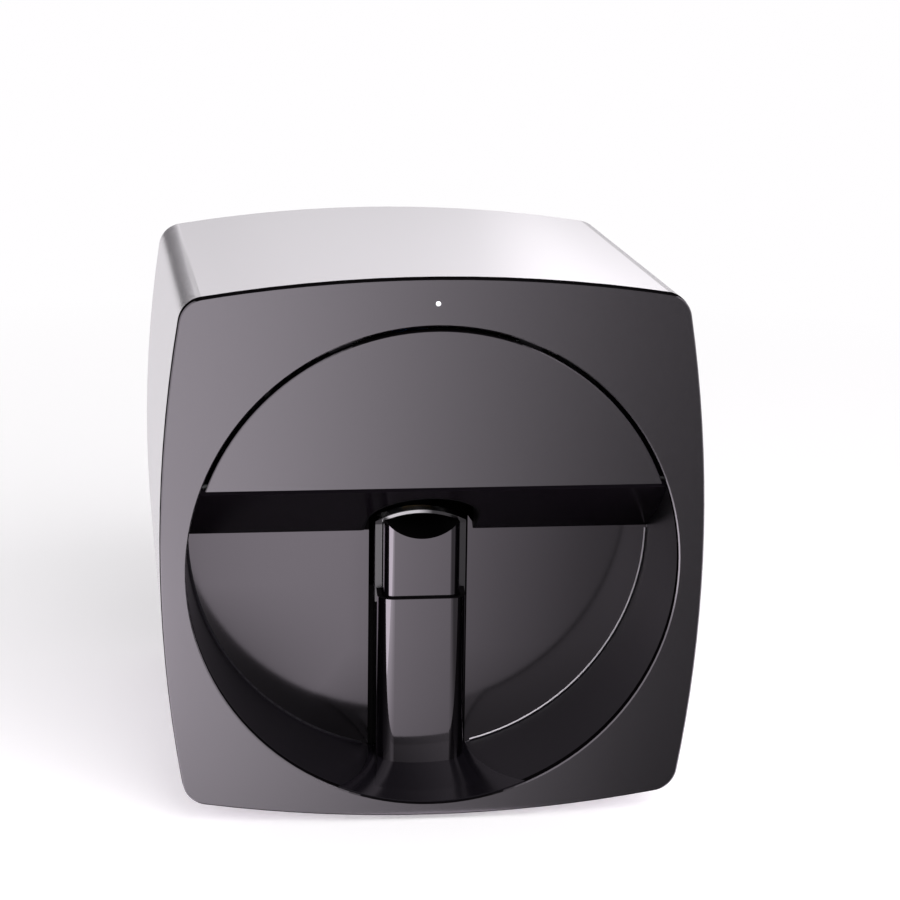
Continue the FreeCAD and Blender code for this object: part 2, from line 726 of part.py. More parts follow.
def recess_back_plate():
    plate = rod_y(0, OPENING_Z, WELL_END_R + WELL_WALL, deep(WELL_DEPTH), deep(WELL_DEPTH + PLATE_T))
    top = incline_points(SOFFIT_T, WELL_DEPTH, WELL_DEPTH)[0][1]
    plate = plate.common(block(-OPENING_R, OPENING_R, FACE_Y, REAR_Y, 0, top))
    ear = prism_xz([(CHANNEL_HALF, top - CUT_OVER), (TUNNEL_HALF, top - CUT_OVER), (TUNNEL_HALF, top),
                    (CHANNEL_HALF, up(PLATE_EAR))], deep(WELL_DEPTH), deep(WELL_DEPTH + PLATE_T))
    plate = joined([plate] + on_both_sides(ear))
    channel = block(-CHANNEL_HALF, CHANNEL_HALF, deep(WELL_DEPTH - CUT_OVER),
                    deep(WELL_DEPTH + PLATE_T + CUT_OVER), up(CHANNEL_BOTTOM), up(PLATE_EAR + CUT_OVER))
    return less(plate, [channel])


# ---------------------------------------------------------------- access door
def door_axis():
    """(y, z) of the door's hinge line, inside its lower edge."""
    return deep(FASCIA_T / 2), up(DOOR_CHORD + FASCIA_T / 2)


def chord_half(radius, rise):
    return math.sqrt(radius * radius - rise * rise)


def door_pin_solids():
    """Two pins fixed in the fascia, reaching into the door's ends."""
    y, z = door_axis()
    rise = z - OPENING_Z
    inner = chord_half(DOOR_R, rise) - HINGE_GRIP
    outer = chord_half(OPENING_R, rise) + PIN_IN_FASCIA
    return on_both_sides(rod_x(y, z, HINGE_PIN_R, inner, outer))


def access_door():
    y, z = door_axis()
    disc = rod_y(0, OPENING_Z, DOOR_R, FACE_Y, deep(FASCIA_T))
    upper = block(-OPENING_R, OPENING_R, FACE_Y, deep(FASCIA_T), z, up(OPENING_R))
    front_foot = block(-OPENING_R, OPENING_R, FACE_Y, y, up(DOOR_CHORD), z)
    round_foot = rod_x(y, z, FASCIA_T / 2, -OPENING_R, OPENING_R)
    door = disc.common(joined([upper, front_foot, round_foot])).removeSplitter()
    rim = [edge for edge in edges_at_y(door, FACE_Y) if edge.Curve.TypeId == "Part::GeomCircle"]
    door = door.makeChamfer(DOOR_CHAMFER, rim)
    rise = z - OPENING_Z
    bore = rod_x(y, z, HINGE_PIN_R + RUN_CLEAR, chord_half(DOOR_R, rise) - HINGE_GRIP - PIN_END_ROOM, OPENING_R)
    return less(door, on_both_sides(bore) + door_magnets())


def door_magnets():
    start = deep(FASCIA_T - MAGNET_T)
    return [rod_y(x, up(MAGNET_RISE), MAGNET_R, start, deep(FASCIA_T)) for x in (-MAGNET_X, MAGNET_X)]


# ---------------------------------------------------------------- finger column


def column_block(inset, z0, z1, back):
    """The column's section with its two rounded front edges, made smaller by inset."""
    half = COLUMN_HALF - inset
    solid = block(-half, half, deep(COLUMN_DEPTH + inset), deep(back), z0, z1)
    front = [edge for edge in edges_at_y(solid, deep(COLUMN_DEPTH + inset))
             if edge.Vertexes[0].Point.x == edge.Vertexes[-1].Point.x]
    return solid.makeFillet(COLUMN_ROUND - inset, front)


def ramp_cone():
    """A bore a little steeper than the recess: it leaves the foot's thickness at the column."""
    r0 = OPENING_R
    taper = (OPENING_R - WELL_END_R) / WELL_DEPTH + FOOT_RISE / COLUMN_DEPTH
    r1 = r0 - taper * WELL_DEPTH
    return Part.makeCone(r0, r1, WELL_DEPTH, Vector(0, FACE_Y, OPENING_Z), Vector(0, 1, 0))


def column_foot():
    """The flared foot on the recess's floor: a low apron with a ramp on it."""
    start = deep(FOOT_START)
    end = deep(WELL_DEPTH)
    low = up(-OPENING_R - CUT_OVER)
    high = up(-OPENING_R / 2)
    ramp_plan = [(-FOOT_HALF_FRONT, start), (FOOT_HALF_FRONT, start), (COLUMN_HALF, deep(COLUMN_DEPTH)),
                 (COLUMN_HALF, end), (-COLUMN_HALF, end), (-COLUMN_HALF, deep(COLUMN_DEPTH))]
    ramp = prism_xy(ramp_plan, low, high).cut(ramp_cone())
    bend_x = (CHANNEL_HALF + APRON_HALF_FRONT) / 2 - APRON_WAIST
    bend_y = deep(WELL_DEPTH / 2)
    right = Part.Arc(Vector(APRON_HALF_FRONT, start, low), Vector(bend_x, bend_y, low),
                     Vector(CHANNEL_HALF, end, low)).toShape()
    left = Part.Arc(Vector(-CHANNEL_HALF, end, low), Vector(-bend_x, bend_y, low),
                    Vector(-APRON_HALF_FRONT, start, low)).toShape()
    back = Part.LineSegment(Vector(CHANNEL_HALF, end, low), Vector(-CHANNEL_HALF, end, low)).toShape()
    front = Part.LineSegment(Vector(-APRON_HALF_FRONT, start, low),
                             Vector(APRON_HALF_FRONT, start, low)).toShape()
    outline = Part.Wire([right, back, left, front])
    apron = Part.Face(outline).extrude(Vector(0, 0, high - low)).cut(well_cone(APRON_RISE, 0, WELL_DEPTH))
    inside = well_cone(0, 0, WELL_DEPTH)
    return joined([ramp.common(inside), apron.common(inside)])


def rest_sleeve():
    top = up(SLEEVE_TOP + SLEEVE_SHOULDER)
    front = column_block(0, up(-OPENING_R), top, WELL_DEPTH).common(well_cone(0, 0, WELL_DEPTH))
    rear = column_block(0, up(CHANNEL_BOTTOM), top, COLUMN_BACK)
    flange_half = CHANNEL_HALF + SLEEVE_FLANGE
    plate_back = deep(WELL_DEPTH + PLATE_T)
    flange = block(-flange_half, flange_half, plate_back, plate_back + SLEEVE_BACK_WALL,
                   up(CHANNEL_BOTTOM - SLEEVE_FLANGE), up(SLEEVE_TOP))
    flange = flange.common(rod_y(0, OPENING_Z, WELL_END_R + WELL_WALL, deep(WELL_DEPTH), deep(COLUMN_BACK)))
    sleeve = joined([front, rear, flange])
    cavity = column_block(SLEEVE_WALL, up(SLEEVE_FLOOR), top + CUT_OVER, COLUMN_BACK - SLEEVE_BACK_WALL)
    before = deep(COLUMN_DEPTH - CUT_OVER)
    behind = deep(COLUMN_BACK + CUT_OVER)
    shoulder = prism_yz([(before, up(SLEEVE_TOP)), (deep(COLUMN_DEPTH + COLUMN_ROUND), up(SLEEVE_TOP)),
                         (behind, top), (behind, top + BEYOND), (before, top + BEYOND)], -OPENING_R, OPENING_R)
    return less(sleeve, [cavity, shoulder, column_foot()])


def finger_rest():
    inset = SLEEVE_WALL + SLIDE_CLEAR
    back = COLUMN_BACK - SLEEVE_BACK_WALL - SLIDE_CLEAR
    head = column_block(inset, up(REST_SKIRT), up(REST_EAR), back)
    cradle = block(-CRADLE_HALF, CRADLE_HALF, deep(back - CUT_OVER), deep(CRADLE_END),
                   up(TROUGH_LOW - TROUGH_SKIN), up(REST_EAR))
    trough = rod_y(0, up(TROUGH_LOW + TROUGH_R), TROUGH_R, deep(COLUMN_DEPTH), deep(CRADLE_END + CUT_OVER))
    under_hood = block(-COLUMN_HALF, COLUMN_HALF, deep(HOOD_DEPTH - HOOD_CLEAR), deep(CRADLE_END + CUT_OVER),
                       up(EAR_CUT), up(REST_EAR + CUT_OVER))
    half = COLUMN_HALF - inset - REST_HOLLOW_WALL
    hollow = block(-half, half, deep(HOLLOW_FRONT), deep(HOLLOW_BACK),
                   up(REST_SKIRT - CUT_OVER), up(SPRING_SEAT))
    return less(joined([head, cradle]), [trough, under_hood, hollow])


def rest_spring():
    """A round-wire compression spring with ground ends, between the sleeve's floor and the rest."""
    height = SPRING_SEAT - SLEEVE_FLOOR
    radius = SPRING_R - SPRING_WIRE
    path = Part.makeHelix(height / SPRING_TURNS, height, radius)
    section = Part.Wire(Part.makeCircle(SPRING_WIRE, Vector(radius, 0, 0), Vector(0, 1, 0)))
    sweep = Part.BRepOffsetAPI.MakePipeShell(Part.Wire(path.Edges))
    sweep.setFrenetMode(True)
    sweep.add(section)
    sweep.build()
    sweep.makeSolid()
    coil = sweep.shape()
    coil.translate(Vector(0, deep(SPRING_DEPTH), up(SLEEVE_FLOOR)))
    half = SPRING_R + CUT_OVER
    ends = block(-half, half, deep(SPRING_DEPTH - half), deep(SPRING_DEPTH + half),
                 up(SLEEVE_FLOOR), up(SPRING_SEAT))
    return coil.common(ends)


def tunnel_hood():
    """A shallow arch on two legs: the fixed stop that the nail is held up against."""
    inner = COLUMN_HALF - SLEEVE_WALL
    outer = inner + HOOD_LEG
    arc_z = up(HOOD_TOP - HOOD_ARC)
    y0 = deep(HOOD_DEPTH)
    y1 = deep(HOOD_DEPTH + HOOD_LENGTH)
    root = up(SLEEVE_TOP - HOOD_ROOT)
    whole = block(-outer, outer, y0, y1, root, up(HOOD_TOP)).common(rod_y(0, arc_z, HOOD_ARC, y0, y1))
    under = block(-inner, inner, y0 - CUT_OVER, y1 + CUT_OVER, root - CUT_OVER, up(HOOD_TOP))
    under = under.common(rod_y(0, arc_z, HOOD_ARC - HOOD_T, y0 - CUT_OVER, y1 + CUT_OVER))
    return less(whole, [under, rest_sleeve()])


# ---------------------------------------------------------------- rear panel and its fittings


def rear_panel():
    panel = rounded_slab(PANEL_W / 2, PANEL_H / 2, PANEL_Z, REAR_Y - PANEL_T, REAR_Y, PANEL_CORNER)
    y0 = REAR_Y - PANEL_T - CUT_OVER
    y1 = REAR_Y + CUT_OVER
    cuts = []
    for row in range(VENT_COUNT):
        z = VENT_TOP - row * VENT_PITCH
        slot = block(-VENT_WIDTH / 2, VENT_WIDTH / 2, y0, y1, z - VENT_SLOT / 2, z + VENT_SLOT / 2)
        cuts.append(rounded(slot, VENT_SLOT / 2 - VENT_END_FLAT, Vector(0, 1, 0)))
    cuts.append(block(INLET_X - INLET_HALF - FIT, INLET_X + INLET_HALF + FIT, y0, y1,
                      BOARD_TOP - FIT, BOARD_TOP + INLET_HEIGHT + FIT))
    cuts.append(block(USB_X - USB_HALF - FIT, USB_X + USB_HALF + FIT, y0, y1,
                      BOARD_TOP - FIT, BOARD_TOP + USB_HEIGHT + FIT))
    cuts.append(rod_y(BUTTON_X, BUTTON_Z, BUTTON_R + FIT, y0, y1))
    for x, rise in panel_screw_places():
        cuts.append(rod_y(x, PANEL_Z + rise, SCREW_R, y0, y1))
        cuts.append(rod_y(x, PANEL_Z + rise, SCREW_HEAD_R, REAR_Y - HEAD_SINK, y1))
    return less(panel, cuts)


def panel_screws():
    """Four screws whose flat heads lie flush in the rear panel."""
    screws = []
    for x, rise in panel_screw_places():
        head = rod_y(x, PANEL_Z + rise, SCREW_HEAD_R, REAR_Y - HEAD_SINK, REAR_Y)
        shank = rod_y(x, PANEL_Z + rise, SCREW_R, REAR_Y - SCREW_BITE, REAR_Y - HEAD_SINK)
        slots = [block(x - half_w, x + half_w, REAR_Y - SLOT_DEPTH, REAR_Y + CUT_OVER,
                       PANEL_Z + rise - half_h, PANEL_Z + rise + half_h)
                 for half_w, half_h in ((SLOT_HALF_W, SLOT_HALF_L), (SLOT_HALF_L, SLOT_HALF_W))]
        screws.append(less(joined([head, shank]), slots))
    return screws


def power_inlet():
    z = BOARD_TOP + INLET_HEIGHT / 2
    body = block(INLET_X - INLET_HALF, INLET_X + INLET_HALF, REAR_Y - INLET_LENGTH, REAR_Y - PORT_SET_BACK,
                 BOARD_TOP, BOARD_TOP + INLET_HEIGHT)
    bore_end = REAR_Y - INLET_LENGTH + INLET_BACK_WALL
    bore = rod_y(INLET_X, z, INLET_BORE_R, bore_end, REAR_Y + CUT_OVER)
    pin = rod_y(INLET_X, z, INLET_PIN_R, bore_end - PORT_ROOT, REAR_Y - INLET_PIN_SET_BACK)
    return [body.cut(bore).fuse(pin).removeSplitter()]


def usb_port():
    body = block(USB_X - USB_HALF, USB_X + USB_HALF, REAR_Y - USB_LENGTH, REAR_Y - PORT_SET_BACK,
                 BOARD_TOP, BOARD_TOP + USB_HEIGHT)
    mouth_end = REAR_Y - USB_LENGTH + INLET_BACK_WALL
    mouth = block(USB_X - USB_HALF + USB_WALL, USB_X + USB_HALF - USB_WALL, mouth_end, REAR_Y + CUT_OVER,
                  BOARD_TOP + USB_WALL, BOARD_TOP + USB_HEIGHT - USB_WALL)
    middle = BOARD_TOP + USB_HEIGHT / 2
    tongue = block(USB_X - USB_HALF + USB_TONGUE_SIDE, USB_X + USB_HALF - USB_TONGUE_SIDE,
                   mouth_end - PORT_ROOT, REAR_Y - USB_TONGUE_SET_BACK,
                   middle - USB_TONGUE_T / 2, middle + USB_TONGUE_T / 2)
    return [body.cut(mouth).fuse(tongue).removeSplitter()]


def power_button():
    """A round cap with a retaining flange behind the panel and a short stem."""
    cap = rod_y(BUTTON_X, BUTTON_Z, BUTTON_R, REAR_Y - PANEL_T - BUTTON_TRAVEL, REAR_Y)
    cap = cap.makeFillet(BUTTON_EDGE, edges_at_y(cap, REAR_Y))
    flange_y = REAR_Y - PANEL_T - SLIDE_CLEAR
    flange = rod_y(BUTTON_X, BUTTON_Z, BUTTON_R + BUTTON_FLANGE, flange_y - BUTTON_FLANGE, flange_y)
    stem_end = REAR_Y - PANEL_T - SWITCH_GAP - BUTTON_STEM_IN
    stem = rod_y(BUTTON_X, BUTTON_Z, BUTTON_STEM_R, stem_end, flange_y)
    return joined([cap, flange, stem])


def power_switch():
    """The switch body: a cup that hangs behind the panel on four posts and takes the stem."""
    back = REAR_Y - PANEL_T
    front = back - SWITCH_GAP
    half = SWITCH_BODY / 2
    body = block(BUTTON_X - half, BUTTON_X + half, front - SWITCH_LENGTH, front,
                 BUTTON_Z - half, BUTTON_Z + half)
    bore_end = front - BUTTON_STEM_IN - BUTTON_TRAVEL - SLIDE_CLEAR
    body = body.cut(rod_y(BUTTON_X, BUTTON_Z, BUTTON_STEM_R + SLIDE_CLEAR, bore_end, front + CUT_OVER))
    flange_room = rod_y(BUTTON_X, BUTTON_Z, BUTTON_R + BUTTON_FLANGE + SLIDE_CLEAR, front, back)
    inner = half - SWITCH_POST
    posts = []
    for low_x in (BUTTON_X - half, BUTTON_X + inner):
        for low_z in (BUTTON_Z - half, BUTTON_Z + inner):
            post = block(low_x, low_x + SWITCH_POST, front, back, low_z, low_z + SWITCH_POST)
            posts.append(post.cut(flange_room))
    return joined([body] + posts)


def rubber_feet():
    feet = []
    for x in (-FOOT_X, FOOT_X):
        for y in (-FOOT_Y, FOOT_Y):
            pad = rod_z(x, y, FOOT_R, 0, 3 * FOOT_R).cut(below_body(0))
            rim = [edge for edge in pad.Edges if abs(edge.CenterOfMass.z) < 0.001]
            feet.append(pad.makeFillet(FOOT_EDGE, rim))
    return feet


# ---------------------------------------------------------------- frame


def chassis_base():
    base = block(-CHASSIS_HALF, CHASSIS_HALF, deep(CHASSIS_FRONT), deep(CHASSIS_BACK),
                 CHASSIS_BOTTOM, CHASSIS_TOP)
    base = rounded(base, CHASSIS_CORNER, Vector(0, 0, 1))
    low = CHASSIS_BOTTOM - CUT_OVER
    high = CHASSIS_TOP + CUT_OVER
    holes = [rod_z(x, y, SCREW_R, low, high) for x, y in floor_posts()]
    window = block(-CHASSIS_WINDOW_HALF, CHASSIS_WINDOW_HALF, deep(CHASSIS_WINDOW_START),
                   deep(BOARD_FRONT - CHASSIS_CORNER), low, high)
    return less(base, holes + [rounded(window, CHASSIS_CORNER, Vector(0, 0, 1))])


def chamber_wall():
    """The screen behind the finger's chamber, with a foot on the chassis."""
    y = deep(CHAMBER_END)
    wall = block(-CHAMBER_HALF, CHAMBER_HALF, y, y + FRAME_T, CHASSIS_TOP, up(TRAY_HIGH))
    foot = block(-CHAMBER_HALF, CHAMBER_HALF, y, y + FRAME_FOOT, CHASSIS_TOP, CHASSIS_TOP + FRAME_T)
    gussets = [block(x - FRAME_T / 2, x + FRAME_T / 2, y, y + FRAME_FOOT, CHASSIS_TOP, CHASSIS_TOP + FRAME_RIB)
               for x in (-CHAMBER_HALF / 2, CHAMBER_HALF / 2)]
    return joined([wall, foot] + gussets)


def side_frame():
    """The right-hand frame: a pressed plate with a window, a foot and a flange at the rear."""
    y0 = deep(FRAME_FRONT)
    y1 = deep(FRAME_BACK)
    top = up(FRAME_TOP)
    plate = block(FRAME_X, FRAME_X + FRAME_T, y0, y1, CHASSIS_TOP, top)
    window = block(FRAME_X - CUT_OVER, FRAME_X + FRAME_T + CUT_OVER, y0 + FRAME_RIB, y1 - FRAME_RIB,
                   CHASSIS_TOP + 2 * FRAME_RIB, top - 2 * FRAME_RIB)
    window = rounded(window, FRAME_RIB / 2, Vector(1, 0, 0))
    foot = block(CHASSIS_HALF - FRAME_FOOT, FRAME_X, y0, y1, CHASSIS_TOP, CHASSIS_TOP + FRAME_T)
    frame = joined([plate.cut(window), foot])
    post_holes = [rod_z(x, y, SCREW_HEAD_R + FIT, CHASSIS_TOP - CUT_OVER, CHASSIS_TOP + BEYOND)
                  for x, y in floor_posts()]
    return less(frame, post_holes)


def rail_supports():
    """Four blocks on the side frames that hold the ends of the two fixed rails."""
    blocks = []
    for y0 in (deep(FRAME_FRONT), deep(FRAME_BACK) - SUPPORT_T):
        y1 = y0 + SUPPORT_T
        solid = block(Y_RAIL_X - SUPPORT_REACH, FRAME_X, y0, y1, up(SUPPORT_LOW), up(FRAME_TOP))
        solid = solid.cut(rod_y(Y_RAIL_X, up(Y_RAIL_RISE), Y_RAIL_R, y0 - CUT_OVER, y1 + CUT_OVER))
        blocks += on_both_sides(solid)
    return blocks


def y_rails():
    rail = rod_y(Y_RAIL_X, up(Y_RAIL_RISE), Y_RAIL_R, deep(FRAME_FRONT), deep(FRAME_BACK))
    return on_both_sides(rail)


def standoff_places():
    half = BOARD_HALF - STANDOFF_INSET
    ys = (deep(BOARD_FRONT + STANDOFF_INSET), board_back() - STANDOFF_INSET)
    return [(x, y) for x in (-half, half) for y in ys]


def board_back():
    return REAR_Y - REAR_WALL - BOARD_REAR_GAP


def main_board():
    board = block(-BOARD_HALF, BOARD_HALF, deep(BOARD_FRONT), board_back(), BOARD_TOP - BOARD_T, BOARD_TOP)
    holes = [rod_z(x, y, SCREW_R, BOARD_TOP - BOARD_T - CUT_OVER, BOARD_TOP + CUT_OVER)
             for x, y in standoff_places()]
    return less(board, holes)


def board_standoffs():
    solids = []
    for x, y in standoff_places():
        post = rod_z(x, y, STANDOFF_R, CHASSIS_TOP, CHASSIS_TOP + BOARD_STANDOFF)
        stud = rod_z(x, y, SCREW_R, CHASSIS_TOP, BOARD_TOP + STUD_TIP)
        solids.append(post.fuse(stud).removeSplitter())
    return solids


def board_box(x0, start, width, length, height):
    """A box on the board, its front this far behind the board's front edge."""
    y0 = deep(BOARD_FRONT + start)
    return block(x0, x0 + width, y0, y0 + length, BOARD_TOP, BOARD_TOP + height)


def board_components():
    """Processor, driver chips, memory, capacitors and a cable header on the main board."""
    solids = [board_box(-PROCESSOR_SIDE / 2, PROCESSOR_AT, PROCESSOR_SIDE, PROCESSOR_SIDE, PROCESSOR_T)]
    for x in DRIVER_XS:
        solids.append(board_box(x - DRIVER_SIDE / 2, DRIVER_AT, DRIVER_SIDE, DRIVER_SIDE, DRIVER_T))
    for x in CAPACITOR_XS:
        y = deep(BOARD_FRONT + CAPACITOR_AT)
        solids.append(rod_z(x, y, CAPACITOR_R, BOARD_TOP, BOARD_TOP + CAPACITOR_H))
    solids.append(board_box(-HEADER_W / 2, HEADER_AT, HEADER_W, HEADER_D, HEADER_H))
    solids.append(board_box(MEMORY_X, MEMORY_AT, MEMORY_W, MEMORY_D, MEMORY_T))
    return solids


def floor_screws():
    """Screws that hold the chassis on the housing's posts."""
    screws = []
    for x, y in floor_posts():
        head = rod_z(x, y, SCREW_HEAD_R, CHASSIS_TOP, CHASSIS_TOP + SCREW_HEAD_T)
        shank = rod_z(x, y, SCREW_R, CHASSIS_BOTTOM - POST_BORE, CHASSIS_TOP)
        screws.append(head.fuse(shank).removeSplitter())
    return screws


def fascia_screws():
    screws = []
    for x, rise in at_corners(LUG_X, LUG_RISE):
        boss_end = deep(FASCIA_T + BOSS_LENGTH)
        lug_end = boss_end + FIT + LUG_LENGTH
        shank = rod_y(x, up(rise), SCREW_R, boss_end - SCREW_BITE, lug_end)
        head = rod_y(x, up(rise), SCREW_HEAD_R, lug_end, lug_end + SCREW_HEAD_T)
        screws.append(shank.fuse(head).removeSplitter())
    return screws


# ---------------------------------------------------------------- gantry


def gantry_bridge():
    """The moving bridge: two end blocks tied by a beam behind the carriage."""
    end = block(BLOCK_IN, BLOCK_OUT, deep(BLOCK_FRONT), deep(BLOCK_BACK), up(BLOCK_LOW), up(FRAME_TOP))
    beam_back = deep(BEAM_FRONT + BEAM_T)
    cheek = block(BLOCK_OUT - CHEEK_T, BLOCK_OUT, deep(BLOCK_BACK - CUT_OVER), beam_back,
                  up(BEAM_LOW), up(BEAM_HIGH))
    beam = block(-BLOCK_OUT, BLOCK_OUT, deep(BEAM_FRONT), beam_back, up(BEAM_LOW), up(BEAM_HIGH))
    bridge = joined([beam] + on_both_sides(end) + on_both_sides(cheek))
    y0 = deep(BLOCK_FRONT - CUT_OVER)
    y1 = beam_back + CUT_OVER
    beam_start = deep(BEAM_FRONT - CUT_OVER)
    cuts = on_both_sides(rod_y(Y_RAIL_X, up(Y_RAIL_RISE), Y_RAIL_R + BUSH_WALL, y0, y1))
    for rise in X_RAIL_RISES:
        cuts.append(rod_x(deep(X_RAIL_DEPTH), up(rise), X_RAIL_R, -BLOCK_OUT, BLOCK_OUT))
    cuts.append(rod_y(-PULLEY_X, up(PULLEY_RISE), MOTOR_SHAFT_R + MOTOR_SHAFT_HOLE, beam_start, y1))
    cuts.append(rod_y(SCREW_X, up(SCREW_RISE), NUT_R, beam_start, y1))
    window = block(-BEAM_WINDOW_HALF, BEAM_WINDOW_HALF, beam_start, y1,
                   up(BEAM_LOW + BEAM_BORDER), up(BEAM_HIGH - BEAM_BORDER))
    cuts.append(rounded(window, BEAM_CORNER, Vector(0, 1, 0)))
    return less(bridge, cuts)


def gantry_bushes():
    """Two flanged bushes that run on the fixed rails."""
    y0 = deep(BLOCK_FRONT) - Y_BUSH_GROW
    y1 = deep(BLOCK_BACK) + Y_BUSH_GROW
    z = up(Y_RAIL_RISE)
    outer = rod_y(Y_RAIL_X, z, Y_RAIL_R + BUSH_WALL, y0, y1)
    flange = rod_y(Y_RAIL_X, z, Y_RAIL_R + BUSH_WALL + BUSH_FLANGE, y0, deep(BLOCK_FRONT))
    bush = outer.fuse(flange).cut(rod_y(Y_RAIL_X, z, Y_RAIL_R + RUN_CLEAR, y0 - CUT_OVER, y1 + CUT_OVER))
    return on_both_sides(bush.removeSplitter())


def x_rails():
    return [rod_x(deep(X_RAIL_DEPTH), up(rise), X_RAIL_R, -BLOCK_OUT, BLOCK_OUT) for rise in X_RAIL_RISES]


def motor(x, rise, face):
    """A square stepper motor whose shaft comes out of its front."""
    half = MOTOR_SIDE / 2
    z = up(rise)
    body = block(x - half, x + half, deep(face), deep(face + MOTOR_LENGTH), z - half, z + half)
    body = rounded(body, MOTOR_CORNER, Vector(0, 1, 0))
    for share in MOTOR_GROOVES:
        middle = deep(face + share * MOTOR_LENGTH)
        y0 = middle - GROOVE_W / 2
        y1 = middle + GROOVE_W / 2
        band = block(x - half - CUT_OVER, x + half + CUT_OVER, y0, y1, z - half - CUT_OVER, z + half + CUT_OVER)
        core = block(x - half + GROOVE_DEPTH, x + half - GROOVE_DEPTH, y0 - CUT_OVER, y1 + CUT_OVER,
                     z - half + GROOVE_DEPTH, z + half - GROOVE_DEPTH)
        body = body.cut(band.cut(core))
    return body


def x_motor():
    """Stands behind the bridge; a stub axle carries the drive pulley."""
    face = BEAM_FRONT + BEAM_T
    body = motor(-PULLEY_X, PULLEY_RISE, face)
    shaft = rod_y(-PULLEY_X, up(PULLEY_RISE), MOTOR_SHAFT_R, deep(pulley_front()), deep(face))
    return joined([body, shaft])


def pulley_front():
    return BELT_DEPTH - BELT_W / 2 - PULLEY_FLANGE


def pulley(x):
    z = up(PULLEY_RISE)
    y0 = deep(pulley_front())
    y1 = deep(BELT_DEPTH + BELT_W / 2 + PULLEY_FLANGE)
    drum = rod_y(x, z, PULLEY_R, y0, y1)
    rim = PULLEY_R + PULLEY_RIM
    edge = PULLEY_FLANGE - BELT_CLEAR
    drum = drum.fuse([rod_y(x, z, rim, y0, y0 + edge), rod_y(x, z, rim, y1 - edge, y1)])
    return drum.cut(rod_y(x, z, MOTOR_SHAFT_R + RUN_CLEAR, y0 - CUT_OVER, y1 + CUT_OVER)).removeSplitter()


def idler_axle():
    z = up(PULLEY_RISE)
    axle = rod_y(PULLEY_X, z, MOTOR_SHAFT_R, deep(pulley_front()), deep(BEAM_FRONT))
    collar_start = BELT_DEPTH + BELT_W / 2 + PULLEY_FLANGE + SLIDE_CLEAR
    collar = rod_y(PULLEY_X, z, MOTOR_SHAFT_R + COLLAR_WALL, deep(collar_start), deep(BEAM_FRONT))
    return joined([axle, collar])


def stadium(radius, y0, y1):
    z = up(PULLEY_RISE)
    ends = [rod_y(x, z, radius, y0, y1) for x in (-PULLEY_X, PULLEY_X)]
    return joined(ends + [block(-PULLEY_X, PULLEY_X, y0, y1, z - radius, z + radius)])


def carriage_belt():
    y0 = deep(BELT_DEPTH - BELT_W / 2)
    y1 = deep(BELT_DEPTH + BELT_W / 2)
    inner = PULLEY_R + BELT_CLEAR
    return stadium(inner + BELT_T, y0, y1).cut(stadium(inner, y0 - CUT_OVER, y1 + CUT_OVER))


def lead_nut():
    y = deep(BEAM_FRONT)
    z = up(SCREW_RISE)
    back = deep(BEAM_FRONT + BEAM_T)
    body = rod_y(SCREW_X, z, NUT_R, y, back + NUT_LENGTH)
    flange = rod_y(SCREW_X, z, NUT_FLANGE_R, back, back + NUT_FLANGE_T)
    bore = rod_y(SCREW_X, z, LEAD_SCREW_R + RUN_CLEAR, y - CUT_OVER, back + NUT_LENGTH + CUT_OVER)
    return body.fuse(flange).cut(bore).removeSplitter()


def lead_screw():
    """The screw and the coupling sleeve that slips over the motor's shaft."""
    z = up(SCREW_RISE)
    bracket_y = deep(Y_MOTOR_FACE - BRACKET_T)
    rod_end = bracket_y - MOTOR_SHAFT_OUT - COUPLING_GAP
    rod = rod_y(SCREW_X, z, LEAD_SCREW_R, deep(BEAM_FRONT + SCREW_TIP_IN), rod_end)
    sleeve = rod_y(SCREW_X, z, MOTOR_SHAFT_R + COUPLING_WALL, rod_end - COUPLING_LAP, bracket_y - COUPLING_GAP)
    hole = rod_y(SCREW_X, z, MOTOR_SHAFT_R + RUN_CLEAR, rod_end, deep(Y_MOTOR_FACE))
    return rod.fuse(sleeve).cut(hole).removeSplitter()


def y_motor():
    body = motor(SCREW_X, SCREW_RISE, Y_MOTOR_FACE)
    shaft_tip = deep(Y_MOTOR_FACE - BRACKET_T - MOTOR_SHAFT_OUT)
    shaft = rod_y(SCREW_X, up(SCREW_RISE), MOTOR_SHAFT_R, shaft_tip, deep(Y_MOTOR_FACE))
    return joined([body, shaft])


def y_motor_bracket():
    half = MOTOR_SIDE / 2
    plate = block(SCREW_X - half, FRAME_X, deep(Y_MOTOR_FACE - BRACKET_T), deep(Y_MOTOR_FACE),
                  up(SCREW_RISE) - half, up(SUPPORT_LOW - BRACKET_HEAD_GAP))
    return plate.cut(rod_y(SCREW_X, up(SCREW_RISE), BRACKET_BORE_R, deep(Y_MOTOR_FACE - BRACKET_T - CUT_OVER),
                           deep(Y_MOTOR_FACE + CUT_OVER)))


# ---------------------------------------------------------------- carriage


def ink_cartridge():
    body = block(-CARTRIDGE_HALF, CARTRIDGE_HALF, deep(CARTRIDGE_FRONT), deep(CARTRIDGE_BACK),
                 up(CARTRIDGE_LOW), up(CARTRIDGE_HIGH))
    body = rounded(body, CARTRIDGE_ROUND, Vector(0, 0, 1))
    snout = block(-NOZZLE_HALF, NOZZLE_HALF, deep(NOZZLE_FRONT), deep(NOZZLE_BACK),
                  up(CARTRIDGE_LOW - NOZZLE_DROP), up(CARTRIDGE_LOW))
    grip_half = CARTRIDGE_HALF - GRIP_INSET
    grip = block(-grip_half, grip_half, deep(CARTRIDGE_FRONT - CUT_OVER), deep(CARTRIDGE_FRONT + GRIP_T / 2),
                 up(CARTRIDGE_HIGH - GRIP_TOP - GRIP_T), up(CARTRIDGE_HIGH - GRIP_TOP))
    grips = [grip.translated(Vector(0, 0, -GRIP_PITCH * row)) for row in range(GRIP_COUNT)]
    return less(joined([body, snout]), grips)


